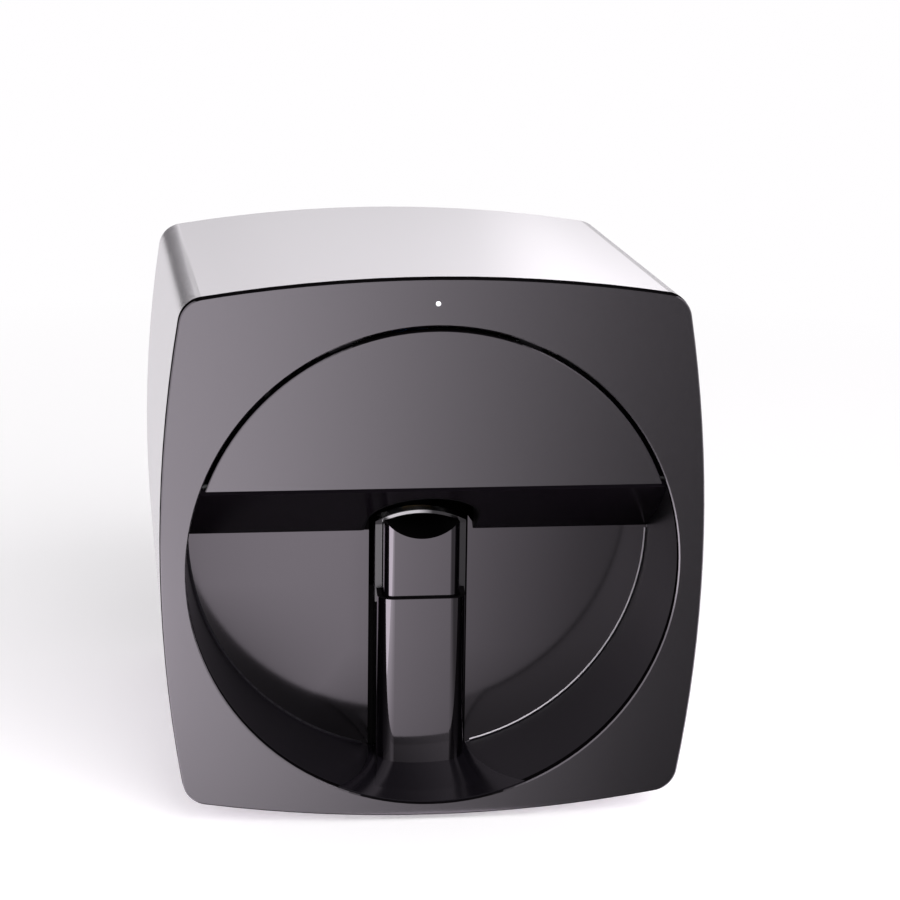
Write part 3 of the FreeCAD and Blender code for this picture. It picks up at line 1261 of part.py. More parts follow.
def nozzle_plate():
    """The printing face under the cartridge's snout."""
    z = up(CARTRIDGE_LOW - NOZZLE_DROP)
    half = NOZZLE_HALF - NOZZLE_INSET
    y0 = deep(NOZZLE_FRONT + NOZZLE_INSET)
    y1 = deep(NOZZLE_BACK - NOZZLE_INSET)
    return block(-half, half, y0, y1, z - NOZZLE_T, z)


def carriage():
    """The cartridge's holder, with its bearing block and the clamp that grips the belt."""
    out = CARTRIDGE_HALF + HOLDER_WALL
    back = deep(CARTRIDGE_BACK)
    front = deep(CARTRIDGE_FRONT)
    bottom = up(CARTRIDGE_LOW - HOLDER_WALL)
    floor = block(-out, out, front, back, bottom, up(CARTRIDGE_LOW))
    side = block(CARTRIDGE_HALF, out, front, back, bottom, up(HOLDER_SIDE_TOP))
    lip = block(-out, out, front - HOLDER_WALL, front, bottom, up(CARTRIDGE_LOW + HOLDER_LIP))
    wall = block(-out, out, back, back + HOLDER_WALL, bottom, up(HOLDER_BACK_TOP))
    bearing = block(-BEARING_HALF, BEARING_HALF, back, back + HOLDER_WALL + BEARING_T,
                    up(X_RAIL_LOW - BEARING_BEYOND), up(X_RAIL_HIGH + BEARING_BEYOND))
    clamp_back = deep(BELT_DEPTH + BELT_W / 2 + CLAMP_BACK)
    belt_low = PULLEY_RISE + PULLEY_R + BELT_CLEAR
    clamp = block(-CLAMP_HALF, CLAMP_HALF, back + HOLDER_WALL, clamp_back,
                  up(belt_low - CLAMP_WALL), up(belt_low + CLAMP_WALL))
    ear_in = LATCH_HALF + SLIDE_CLEAR
    ear = block(ear_in, ear_in + LATCH_EAR, deep(LATCH_DEPTH - LATCH_HUB_R), back + HOLDER_WALL / 2,
                up(CARTRIDGE_HIGH) + SLIDE_CLEAR, up(LATCH_RISE + LATCH_EAR_TOP))
    holder = joined([floor, lip, wall, bearing, clamp] + on_both_sides(side) + on_both_sides(ear))
    cuts = [block(-NOZZLE_HALF - FIT, NOZZLE_HALF + FIT, deep(NOZZLE_FRONT) - FIT, deep(NOZZLE_BACK) + FIT,
                  up(0), up(CARTRIDGE_LOW) + CUT_OVER)]
    cuts.append(block(-CLAMP_HALF - CUT_OVER, CLAMP_HALF + CUT_OVER,
                      deep(BELT_DEPTH - BELT_W / 2 - BELT_CLEAR), clamp_back + CUT_OVER,
                      up(belt_low - BELT_CLEAR), up(belt_low + BELT_T + BELT_CLEAR)))
    for rise in X_RAIL_RISES:
        cuts.append(rod_x(deep(X_RAIL_DEPTH), up(rise), X_RAIL_R + X_BUSH_WALL,
                          -out - CUT_OVER, out + CUT_OVER))
    cuts.append(rod_x(deep(LATCH_DEPTH), up(LATCH_RISE), LATCH_PIN_R, -out, out))
    return less(holder, cuts)


def carriage_bushes():
    solids = []
    for rise in X_RAIL_RISES:
        y = deep(X_RAIL_DEPTH)
        bush = rod_x(y, up(rise), X_RAIL_R + X_BUSH_WALL, -BEARING_HALF, BEARING_HALF)
        bore = rod_x(y, up(rise), X_RAIL_R + RUN_CLEAR, -BEARING_HALF - CUT_OVER, BEARING_HALF + CUT_OVER)
        solids.append(bush.cut(bore))
    return solids


def cartridge_latch():
    """A lever over the cartridge's rear, turning on a pin in the carriage."""
    y = deep(LATCH_DEPTH)
    z = up(LATCH_RISE)
    hub = rod_x(y, z, LATCH_HUB_R, -LATCH_HALF, LATCH_HALF)
    low = up(CARTRIDGE_HIGH) + SLIDE_CLEAR
    tip = y - LATCH_REACH
    lever = block(-LATCH_HALF, LATCH_HALF, tip, y, low, z)
    tab = block(-LATCH_HALF, LATCH_HALF, tip, tip + LATCH_TAB_T, low, z + LATCH_TAB_H)
    bore_half = LATCH_HALF + CUT_OVER
    return less(joined([hub, lever, tab]), [rod_x(y, z, LATCH_PIN_R + RUN_CLEAR, -bore_half, bore_half)])


def latch_pin():
    out = LATCH_HALF + SLIDE_CLEAR + LATCH_EAR
    return rod_x(deep(LATCH_DEPTH), up(LATCH_RISE), LATCH_PIN_R, -out, out)


def camera_body():
    y = deep(CAMERA_DEPTH)
    body = block(CAMERA_X - CAMERA_HALF, -CARTRIDGE_HALF - HOLDER_WALL, y - CAMERA_HALF, y + CAMERA_HALF,
                 up(CAMERA_LOW), up(CAMERA_HIGH))
    barrel = rod_z(CAMERA_X, y, BARREL_R, up(BARREL_LOW), up(CAMERA_LOW))
    seat = rod_z(CAMERA_X, y, LENS_R, up(BARREL_LOW - CUT_OVER), up(BARREL_LOW + LENS_SEAT))
    return less(joined([body, barrel]), [seat])


def camera_lens():
    y = deep(CAMERA_DEPTH)
    low = up(BARREL_LOW + LENS_SET_BACK)
    blank = rod_z(CAMERA_X, y, LENS_R, low, up(BARREL_LOW + LENS_SEAT))
    dome_r = LENS_R * LENS_DOME
    dome = Part.makeSphere(dome_r, Vector(CAMERA_X, y, low + dome_r))
    return blank.common(dome)


def light_ring():
    y = deep(CAMERA_DEPTH)
    low = up(CAMERA_LOW - RING_DROP)
    high = low + RING_T
    hole = rod_z(CAMERA_X, y, BARREL_R, low - CUT_OVER, high + CUT_OVER)
    ring = rod_z(CAMERA_X, y, RING_R, low, high).cut(hole)
    lamps = []
    middle = (BARREL_R + RING_R) / 2
    for step in range(LAMP_COUNT):
        angle = 2 * math.pi * step / LAMP_COUNT
        lamps.append(rod_z(CAMERA_X + middle * math.cos(angle), y + middle * math.sin(angle), LAMP_R,
                           low - LAMP_H, low))
    return joined([ring] + lamps)


def ink_tray():
    y0 = deep(TRAY_FRONT)
    y1 = deep(TRAY_BACK)
    box = block(TRAY_X - TRAY_HALF, TRAY_X + TRAY_HALF, y0, y1, up(TRAY_LOW), up(TRAY_HIGH))
    mid = (y0 + y1) / 2
    post = block(TRAY_X - TRAY_POST, TRAY_X + TRAY_POST, mid - TRAY_POST, mid + TRAY_POST,
                 CHASSIS_TOP, up(TRAY_LOW))
    inner_half = TRAY_HALF - TRAY_WALL
    inside = block(TRAY_X - inner_half, TRAY_X + inner_half, y0 + TRAY_WALL, y1 - TRAY_WALL,
                   up(TRAY_LOW + TRAY_WALL), up(TRAY_HIGH + CUT_OVER))
    return less(joined([box, post]), [inside])


def ink_pad():
    inset = TRAY_WALL + PAD_CLEAR
    half = TRAY_HALF - inset
    return block(TRAY_X - half, TRAY_X + half, deep(TRAY_FRONT + inset), deep(TRAY_BACK - inset),
                 up(TRAY_LOW + TRAY_WALL), up(TRAY_HIGH - PAD_BELOW_RIM))


# ---------------------------------------------------------------- the whole machine
part("housing_shell", housing_shell())
part("front_fascia", joined([front_fascia()] + light_board_clips()))
part("status_light_pipe", light_pipe())
part("status_light_board", light_board())
part("recess_well", recess_well())
part("recess_back_plate", recess_back_plate())
part("recess_soffit", recess_soffit())
part("finger_tunnel_liner", tunnel_liner())
part("finger_tunnel_hood", tunnel_hood())
part("column_foot", column_foot())
part("finger_rest_sleeve", rest_sleeve())
part("finger_rest", finger_rest())
part("rest_spring", rest_spring())
part("access_door", access_door())
part("door_hinge_pins", door_pin_solids())
part("door_magnets", door_magnets())
part("catch_magnets", [catch_magnet(x) for x in (-MAGNET_X, MAGNET_X)])
part("rear_panel", rear_panel())
part("rear_panel_screws", panel_screws())
part("power_inlet", power_inlet())
part("usb_port", usb_port())
part("power_button", power_button())
part("power_switch", power_switch())
part("rubber_feet", rubber_feet())
part("fascia_screws", fascia_screws())
part("chassis_base", chassis_base())
part("chassis_screws", floor_screws())
part("chamber_wall", chamber_wall())
part("right_side_frame", side_frame())
part("left_side_frame", mirrored(side_frame()))
part("rail_supports", rail_supports())
part("y_rails", y_rails())
part("main_board", main_board())
part("board_standoffs", board_standoffs())
part("board_components", board_components())
part("gantry_bridge", gantry_bridge())
part("gantry_bushes", gantry_bushes())
part("x_rails", x_rails())
part("x_motor", x_motor())
part("drive_pulley", pulley(-PULLEY_X))
part("idler_pulley", pulley(PULLEY_X))
part("idler_axle", idler_axle())
part("carriage_belt", carriage_belt())
part("lead_nut", lead_nut())
part("lead_screw", lead_screw())
part("y_motor", y_motor())
part("y_motor_bracket", y_motor_bracket())
part("printhead_carriage", carriage())
part("carriage_bushes", carriage_bushes())
part("ink_cartridge", ink_cartridge())
part("nozzle_plate", nozzle_plate())
part("cartridge_latch", cartridge_latch())
part("latch_pin", latch_pin())
part("camera_body", camera_body())
part("camera_lens", camera_lens())
part("camera_light_ring", light_ring())
part("ink_tray", ink_tray())
part("ink_pad", ink_pad())

os.makedirs("parts", exist_ok=True)
for name, solids in PARTS.items():
    shape = Part.makeCompound(solids)
    shape.exportStep("parts/" + name + ".step")
    box = shape.BoundBox
    print("%-22s %2d solids %10.1f mm3  x %7.2f %7.2f  y %7.2f %7.2f  z %7.2f %7.2f" % (
        name, len(shape.Solids), shape.Volume, box.XMin, box.XMax, box.YMin, box.YMax, box.ZMin, box.ZMax))
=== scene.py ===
import json
import math

import bmesh
import bpy
from mathutils import Matrix, Vector


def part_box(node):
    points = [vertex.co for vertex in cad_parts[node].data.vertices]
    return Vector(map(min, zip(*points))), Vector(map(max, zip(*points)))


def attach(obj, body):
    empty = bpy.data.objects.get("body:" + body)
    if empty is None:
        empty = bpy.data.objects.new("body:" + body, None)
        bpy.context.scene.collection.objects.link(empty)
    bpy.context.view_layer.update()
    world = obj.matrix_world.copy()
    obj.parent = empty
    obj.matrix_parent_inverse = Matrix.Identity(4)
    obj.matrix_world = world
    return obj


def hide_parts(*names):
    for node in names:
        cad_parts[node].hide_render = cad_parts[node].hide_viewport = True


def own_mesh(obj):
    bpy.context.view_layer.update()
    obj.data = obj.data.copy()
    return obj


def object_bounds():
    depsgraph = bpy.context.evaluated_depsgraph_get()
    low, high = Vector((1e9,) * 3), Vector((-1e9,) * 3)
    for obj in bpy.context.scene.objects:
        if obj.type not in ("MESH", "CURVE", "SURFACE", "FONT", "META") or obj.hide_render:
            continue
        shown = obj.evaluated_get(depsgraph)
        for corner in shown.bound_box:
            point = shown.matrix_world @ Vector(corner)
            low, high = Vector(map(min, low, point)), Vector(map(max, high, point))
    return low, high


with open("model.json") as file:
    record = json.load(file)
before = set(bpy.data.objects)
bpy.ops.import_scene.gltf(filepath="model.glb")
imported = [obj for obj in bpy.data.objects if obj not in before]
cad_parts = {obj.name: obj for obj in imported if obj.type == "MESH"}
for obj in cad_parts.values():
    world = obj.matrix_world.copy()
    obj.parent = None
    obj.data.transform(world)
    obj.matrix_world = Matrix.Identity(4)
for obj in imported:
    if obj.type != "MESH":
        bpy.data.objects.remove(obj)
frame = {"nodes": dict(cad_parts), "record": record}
CAD_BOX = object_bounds()

# Lengths are in metres.  A fade is (from, to, level at from, level at to) for spread().


def add_object(name, data):
    obj = bpy.data.objects.new(name, data)
    bpy.context.scene.collection.objects.link(obj)
    return obj


# ---------------------------------------------------------------- camera
CAMERA_AT = Vector((-0.1367, -1.2303, 0.4412))
CAMERA_YAW = math.radians(7.26)
CAMERA_PITCH = math.radians(14.18)
CAMERA_ROLL = math.radians(0.81)
LENS_MM = 116.3
SENSOR_MM = 36.0
CAMERA_REACH = 50


def make_camera():
    data = bpy.data.cameras.new("camera")
    data.lens = LENS_MM
    data.sensor_width = SENSOR_MM
    data.clip_end = CAMERA_REACH
    camera = add_object("camera", data)
    level = Vector((math.cos(CAMERA_YAW), -math.sin(CAMERA_YAW), 0))
    ahead = Vector((math.sin(CAMERA_YAW) * math.cos(CAMERA_PITCH),
                    math.cos(CAMERA_YAW) * math.cos(CAMERA_PITCH), -math.sin(CAMERA_PITCH)))
    upright = level.cross(ahead)
    right = level * math.cos(CAMERA_ROLL) + upright * math.sin(CAMERA_ROLL)
    top = right.cross(ahead)
    turn = Matrix((right, top, -ahead)).transposed()
    camera.matrix_world = Matrix.Translation(CAMERA_AT) @ turn.to_4x4()
    bpy.context.scene.camera = camera


# ---------------------------------------------------------------- node helpers
def new_nodes(name):
    mat = bpy.data.materials.new(name)
    mat.use_nodes = True
    tree = mat.node_tree
    tree.nodes.clear()
    out = tree.nodes.new("ShaderNodeOutputMaterial")
    return mat, tree, out


def put(tree, socket, value):
    """Feed a socket from another node's output, or set it to a number or colour."""
    if isinstance(value, bpy.types.NodeSocket):
        tree.links.new(value, socket)
    else:
        socket.default_value = value


def calc(tree, operation, first, second=0.0):
    node = tree.nodes.new("ShaderNodeMath")
    node.operation = operation
    put(tree, node.inputs[0], first)
    put(tree, node.inputs[1], second)
    return node.outputs[0]


def product(tree, first, second):
    return calc(tree, "MULTIPLY", first, second)


def larger(tree, first, second):
    return calc(tree, "MAXIMUM", first, second)


def magnitude(tree, value):
    return calc(tree, "ABSOLUTE", value)


def spread(tree, value, low, high, to_low, to_high):
    """Map a value from one range to another, held at both ends."""
    node = tree.nodes.new("ShaderNodeMapRange")
    for socket, setting in zip(node.inputs, (value, low, high, to_low, to_high)):
        put(tree, socket, setting)
    return node.outputs["Result"]


def blend(tree, share, first, second):
    """The first number where the share is 0 and the second where it is 1."""
    return spread(tree, share, 0, 1, first, second)


def grey_ramp(tree, value, stops):
    """Piecewise levels over a value.  Returns the colour and the level that 1 stands for."""
    low = stops[0][0]
    high = stops[-1][0]
    peak = max(level for _, level in stops)
    ramp = tree.nodes.new("ShaderNodeValToRGB")
    elements = ramp.color_ramp.elements
    for index, (at, level) in enumerate(stops):
        position = (at - low) / (high - low)
        if index < 2:  # a new ramp has two elements already
            element = elements[index]
            element.position = position
        else:
            element = elements.new(position)
        element.color = (level / peak, level / peak, level / peak, 1)
    put(tree, ramp.inputs["Fac"], spread(tree, value, low, high, 0, 1))
    return ramp.outputs["Color"], peak


def axes_of(tree, vector):
    """The X, Y and Z outputs of a vector."""
    split = tree.nodes.new("ShaderNodeSeparateXYZ")
    put(tree, split.inputs[0], vector)
    return split.outputs


def world_place(tree):
    return axes_of(tree, tree.nodes.new("ShaderNodeNewGeometry").outputs["Position"])


def face_normal(tree):
    """The face's normal in the piece's own frame, which turns with the piece."""
    turn = tree.nodes.new("ShaderNodeVectorTransform")
    turn.vector_type = "NORMAL"
    turn.convert_from = "WORLD"
    turn.convert_to = "OBJECT"
    face = tree.nodes.new("ShaderNodeNewGeometry")
    put(tree, turn.inputs[0], face.outputs["True Normal"])
    return axes_of(tree, turn.outputs[0])


def noise(tree, scale, detail):
    place = tree.nodes.new("ShaderNodeTexCoord")
    node = tree.nodes.new("ShaderNodeTexNoise")
    node.inputs["Scale"].default_value = scale
    node.inputs["Detail"].default_value = detail
    put(tree, node.inputs["Vector"], place.outputs["Object"])
    return node.outputs["Fac"]


def glow(tree, color, strength):
    node = tree.nodes.new("ShaderNodeEmission")
    put(tree, node.inputs["Color"], color)
    put(tree, node.inputs["Strength"], strength)
    return node.outputs[0]


# ---------------------------------------------------------------- floor, world and lamps
WHITE = (1, 0.99, 1, 1)
FLOOR_SIZE = 14.0
FLOOR_COLOR = (0.86, 0.845, 0.86, 1)
FLOOR_GLOW = 0.25
FLOOR_FADE = (0.22, 1.0, 0, 1)
WORLD_LIGHT = 0.55
MIRRORED_LIGHT = 0.75
LAMP_AIM = Vector((0, 0, 0.1))
# Each lamp's name, place, side of its square and watts.
LAMPS = [("key", Vector((0.9, -1.95, 1.2)), 2.0, 68),
         ("fill", Vector((-1.3, -1.2, 1.1)), 1.4, 4)]


def white_level(tree, unseen):
    """1 for camera and transmission rays, MIRRORED_LIGHT for glossy rays, unseen for the rest."""
    path = tree.nodes.new("ShaderNodeLightPath")
    seen = larger(tree, path.outputs["Is Camera Ray"], path.outputs["Is Transmission Ray"])
    mirrored = blend(tree, path.outputs["Is Glossy Ray"], unseen, MIRRORED_LIGHT)
    return blend(tree, seen, mirrored, 1)


def plane(name, corners):
    mesh = bpy.data.meshes.new(name)
    mesh.from_pydata(corners, [], [tuple(range(len(corners)))])
    obj = add_object(name, mesh)
    return obj


def make_floor():
    """Pale paper that shows white and keeps the shadow near the machine.

    Further out it fades to plain white, for rays that see it.
    """
    half = FLOOR_SIZE / 2
    floor = plane("floor", [(-half, -half, 0), (half, -half, 0), (half, half, 0), (-half, half, 0)])
    mat, tree, out = new_nodes("floor_paper")
    diffuse = tree.nodes.new("ShaderNodeBsdfDiffuse")
    diffuse.inputs["Color"].default_value = FLOOR_COLOR
    white = white_level(tree, 0)
    lit = tree.nodes.new("ShaderNodeAddShader")
    put(tree, lit.inputs[0], diffuse.outputs[0])
    put(tree, lit.inputs[1], glow(tree, WHITE, product(tree, white, FLOOR_GLOW)))
    place = world_place(tree)
    squares = calc(tree, "ADD", product(tree, place["X"], place["X"]),
                   product(tree, place["Y"], place["Y"]))
    away = spread(tree, calc(tree, "SQRT", squares), *FLOOR_FADE)
    seen = calc(tree, "CEIL", white)
    paper = tree.nodes.new("ShaderNodeMixShader")
    put(tree, paper.inputs[0], product(tree, seen, away))
    put(tree, paper.inputs[1], lit.outputs[0])
    put(tree, paper.inputs[2], glow(tree, WHITE, white))
    put(tree, out.inputs["Surface"], paper.outputs[0])
    floor.data.materials.append(mat)


def make_world():
    world = bpy.data.worlds.new("studio")
    world.use_nodes = True
    tree = world.node_tree
    tree.nodes.clear()
    out = tree.nodes.new("ShaderNodeOutputWorld")
    background = tree.nodes.new("ShaderNodeBackground")
    put(tree, background.inputs["Color"], WHITE)
    put(tree, background.inputs["Strength"], white_level(tree, WORLD_LIGHT))
    put(tree, out.inputs["Surface"], background.outputs[0])
    bpy.context.scene.world = world


def area_light(name, at, size, power):
    """A soft lamp that lights matt surfaces.  The cards make the gloss."""
    data = bpy.data.lights.new(name, "AREA")
    data.shape = "SQUARE"
    data.size = size
    data.energy = power
    light = add_object(name, data)
    light.location = at
    light.rotation_euler = (LAMP_AIM - at).to_track_quat("-Z", "Y").to_euler()
    light.visible_camera = False
    light.visible_glossy = False


# ---------------------------------------------------------------- glow cards
CARD_REACH = 3  # to either side, and up
CARD_LIFT = 0.0015
CARD_GAP = 0.006  # between a card and the machine
BESIDE_FRONT = CAD_BOX[0][1] - CARD_GAP
BESIDE_LEFT = CAD_BOX[0][0] - CARD_GAP

# One front card lies just above the floor and one stands at its far end.  Their glow depends on
# the direction from FAN_AT, a point behind the machine, so upright faces mirror it as a gradient
# from left to right.  FAN_STOPS go over that direction in degrees, and NEAR_STOPS over y,
# counted from BESIDE_FRONT.
FRONT_Y = -3.5
FAN_AT = Vector((-0.1367, 1.0))
FAN_STOPS = [(-60.0, 0.9), (-12.0, 1.1), (-4.0, 1.5), (1.4, 1.36), (2.4, 1.28), (4.2, 1.03),
             (6.9, 0.62), (9.3, 0.33), (10.8, 0.19), (12.0, 0.13), (16.0, 0.14), (60.0, 0.24)]
NEAR_STOPS = [(-0.60, 1.0), (-0.30, 0.97), (-0.15, 0.92), (-0.06, 0.84), (0.0, 0.75)]

# A small bright card over the front one, at its left, gives the column its thin highlight.
STRIP_X = (-0.55, -0.115)
STRIP_Y = (-0.50, -0.125)
STRIP_LEVEL = 2.15

# Two cards at the left: the edge card beside the machine brightens the front edge of its left
# side, and the left card reaches from EDGE_END to the rear.
EDGE_START = -1.3
EDGE_END = 0.05
EDGE_LEVEL = 1.4
LEFT_LEVEL = 0.75

# The rear card is mirrored by the top.  Its foot is dark, which draws the dark line along the
# top's left corner, and reaches higher at the left.  Above its foot the card is dimmest just left
# of the middle and brightens to both sides.  REAR_STOPS and the feet's fades go over x.
REAR_Y = 3.5
REAR_START = 0.01
REAR_STOPS = [(-3.0, 1.08), (-0.45, 1.08), (-0.10, 0.71), (0.086, 0.78), (0.22, 0.80),
              (0.385, 0.84), (0.55, 0.94), (0.71, 1.4), (3.0, 1.6)]
REAR_DARK = 0.09
REAR_FOOT = (-0.45, -0.10, 0.55, 0.27)
REAR_FOOT_TOP = (-0.45, -0.10, 1.05, 0.50)


def glossy_card(name, corners, material):
    """A card that only reflections see."""
    card = plane(name, corners)
    card.visible_camera = False
    card.visible_diffuse = False
    card.visible_transmission = False
    card.visible_volume_scatter = False
    card.visible_shadow = False
    card.data.materials.append(material)


def level_card(name, x_span, y_span, material, lift=CARD_LIFT):
    (left, right), (front, rear) = x_span, y_span
    glossy_card(name, [(left, front, lift), (right, front, lift),
                       (right, rear, lift), (left, rear, lift)], material)


def upright_card(name, y, foot, material):
    glossy_card(name, [(-CARD_REACH, y, foot), (CARD_REACH, y, foot),
                       (CARD_REACH, y, CARD_REACH), (-CARD_REACH, y, CARD_REACH)], material)


def plain_glow(name, level):
    mat, tree, out = new_nodes(name)
    put(tree, out.inputs["Surface"], glow(tree, WHITE, level))
    return mat


def fan_glow():
    """A glow that falls from left to right round FAN_AT, and dims a little near the machine."""
    mat, tree, out = new_nodes("front_card_glow")
    place = world_place(tree)
    across = calc(tree, "SUBTRACT", place["X"], FAN_AT.x)
    along = calc(tree, "SUBTRACT", FAN_AT.y, place["Y"])
    angle = product(tree, calc(tree, "ARCTAN2", across, along), math.degrees(1))
    color, peak = grey_ramp(tree, angle, FAN_STOPS)
    beyond = calc(tree, "SUBTRACT", place["Y"], BESIDE_FRONT)
    near, near_peak = grey_ramp(tree, beyond, NEAR_STOPS)
    put(tree, out.inputs["Surface"], glow(tree, color, product(tree, near, peak * near_peak)))
    return mat


def rear_glow():
    mat, tree, out = new_nodes("rear_card_glow")
    place = world_place(tree)
    color, peak = grey_ramp(tree, place["X"], REAR_STOPS)
    foot = spread(tree, place["X"], *REAR_FOOT)
    foot_top = spread(tree, place["X"], *REAR_FOOT_TOP)
    strength = spread(tree, place["Z"], foot, foot_top, REAR_DARK, peak)
    put(tree, out.inputs["Surface"], glow(tree, color, strength))
    return mat


def make_cards():
    fan = fan_glow()
    level_card("front_floor_card", (-CARD_REACH, CARD_REACH), (FRONT_Y, BESIDE_FRONT), fan)
    upright_card("front_wall_card", FRONT_Y, 0, fan)
    level_card("strip_card", STRIP_X, STRIP_Y, plain_glow("strip_card_glow", STRIP_LEVEL),
               lift=2 * CARD_LIFT)
    level_card("left_floor_card", (-CARD_REACH, BESIDE_LEFT), (EDGE_END, REAR_Y),
               plain_glow("left_floor_card_glow", LEFT_LEVEL))
    level_card("edge_card", (EDGE_START, BESIDE_LEFT), (BESIDE_FRONT, EDGE_END),
               plain_glow("edge_card_glow", EDGE_LEVEL))
    upright_card("rear_card", REAR_Y, REAR_START, rear_glow())


# ---------------------------------------------------------------- masks of painted shade, reflection and highlight
# Fades over a part of the face's normal. FASCIA_SIDE, FASCIA_BEVEL, FASCIA_LEVEL and SHELL_RIM lay
# painted shade: black sides and rim for the shadow gap round the fascia, and dark level bevels for
# the dark they mirror. LOOKS_UP lays painted shade on the dish and the sleeve's top.
FASCIA_SIDE = (0.3, 0.5, 1, 0)
FASCIA_BEVEL = (0.9, 0.97, 1, 0)
FASCIA_LEVEL = (0.61, 0.67, 0, 1)
SHELL_RIM = (-0.9, -0.8, 1, 0)
LOOKS_UP = (0.3, 0.5, 0, 1)
# Fades over a place. WELL_BEAD and WELL_RIGHT place a painted highlight. EAR_FOOT, EAR_SIDE,
# PLATE_LEFT, PLATE_FOOT, CORNER_LEFT and CORNER_FOOT place a painted shadow on the back plate's
# left ear and a painted dark reflection to its left and foot. BEHIND_RECESS places painted shade on
# the sleeve. HOOD_LEG and HOOD_SHOULDER place painted shade on the hood, and HOOD_RIGHT a painted
# dark reflection on its right half.
WELL_BEAD = (-0.05518, -0.05512, 0, 1)
WELL_RIGHT = (0.0, 0.02, 0, 1)
EAR_FOOT = (0.1076, 0.1079, 0, 1)
EAR_SIDE = (-0.0206, -0.0204, 1, 0)
PLATE_LEFT = (-0.095, -0.030, 0.50, 0.08)
PLATE_FOOT = (0.020, 0.065, 0.37, 0)
CORNER_LEFT = (-0.095, -0.030, 0.40, 0)
CORNER_FOOT = (0.045, 0.085, 1, 0)
BEHIND_RECESS = (-0.0556, -0.0554, 0, 1)
HOOD_LEG = (0.0160, 0.0164, 0, 0.8)
HOOD_SHOULDER = (0.1118, 0.1126, 0, 1.2)
HOOD_RIGHT = (-0.001, 0.005, 0, 0.94)


def fascia_painted_edge_shade(tree):
    """Painted shade: 1 on the black sides, which stand for the shadow gap round the fascia, and on
    the level bevels, darkened for the dark they mirror; 0 on the face and the upright bevels.
    """
    normal = face_normal(tree)
    forward = magnitude(tree, normal["Y"])
    side = spread(tree, forward, *FASCIA_SIDE)
    bevel = spread(tree, forward, *FASCIA_BEVEL)
    level = spread(tree, magnitude(tree, normal["Z"]), *FASCIA_LEVEL)
    return larger(tree, side, product(tree, bevel, level))


def shell_painted_rim_shade(tree):
    """Painted shade: 1 on the shell's narrow front rim, blackened for the shadow gap at the fascia.
    """
    return spread(tree, face_normal(tree)["Y"], *SHELL_RIM)


def upper_faces(tree):
    """1 on the faces that look up, such as the dish of the finger rest, where the mask lays painted
    shade.
    """
    return spread(tree, face_normal(tree)["Z"], *LOOKS_UP)


def well_bead_painted_highlight(tree):
    """Painted highlight: 1 on the right half of the bead round the well's far end, which is painted
    pale.
    """
    place = world_place(tree)
    bead = spread(tree, place["Y"], *WELL_BEAD)
    return product(tree, bead, spread(tree, place["X"], *WELL_RIGHT))


def plate_painted_shade(tree):
    """Painted shade: 1 on the back plate's left ear, a painted shadow, and a slow darkening to its
    left and its foot, a painted dark reflection.
    """
    place = world_place(tree)
    ear = product(tree, spread(tree, place["Z"], *EAR_FOOT), spread(tree, place["X"], *EAR_SIDE))
    left = spread(tree, place["X"], *PLATE_LEFT)
    foot = spread(tree, place["Z"], *PLATE_FOOT)
    corner = product(tree, spread(tree, place["X"], *CORNER_LEFT),
                     spread(tree, place["Z"], *CORNER_FOOT))
    return larger(tree, ear, larger(tree, foot, calc(tree, "ADD", left, corner)))


def sleeve_painted_shade(tree):
    """Painted shade: 1 on the sleeve's top and on all of it that lies behind the recess."""
    return larger(tree, spread(tree, world_place(tree)["Y"], *BEHIND_RECESS), upper_faces(tree))


def hood_painted_shade(tree):
    """Painted reflection and shade: dark on the right half of the hood's arch, a painted dark
    reflection, and painted shade on its shoulders, which are dark, and on its legs, which are grey.
    """
    place = world_place(tree)
    leg = spread(tree, magnitude(tree, place["X"]), *HOOD_LEG)
    shoulder = product(tree, leg, spread(tree, place["Z"], *HOOD_SHOULDER))
    right = spread(tree, place["X"], *HOOD_RIGHT)
    return larger(tree, leg, larger(tree, shoulder, right))


# ---------------------------------------------------------------- finishes
NOISE_RANGE = (0.3, 0.7)
MOTTLE_SCALE = 40.0
MOTTLE_DETAIL = 3
GRAIN_SCALE = 900.0
GRAIN_DETAIL = 2
BUMP_DEPTH = 0.0002
IOR = 1.5
COAT_ROUGHNESS = 0.05
GLOSS = (0.225, 0.200, 0.229)
# Black for the painted shade that the masks lay on by default.
PAINTED_SHADE_BLACK = (0.003, 0.0025, 0.003)


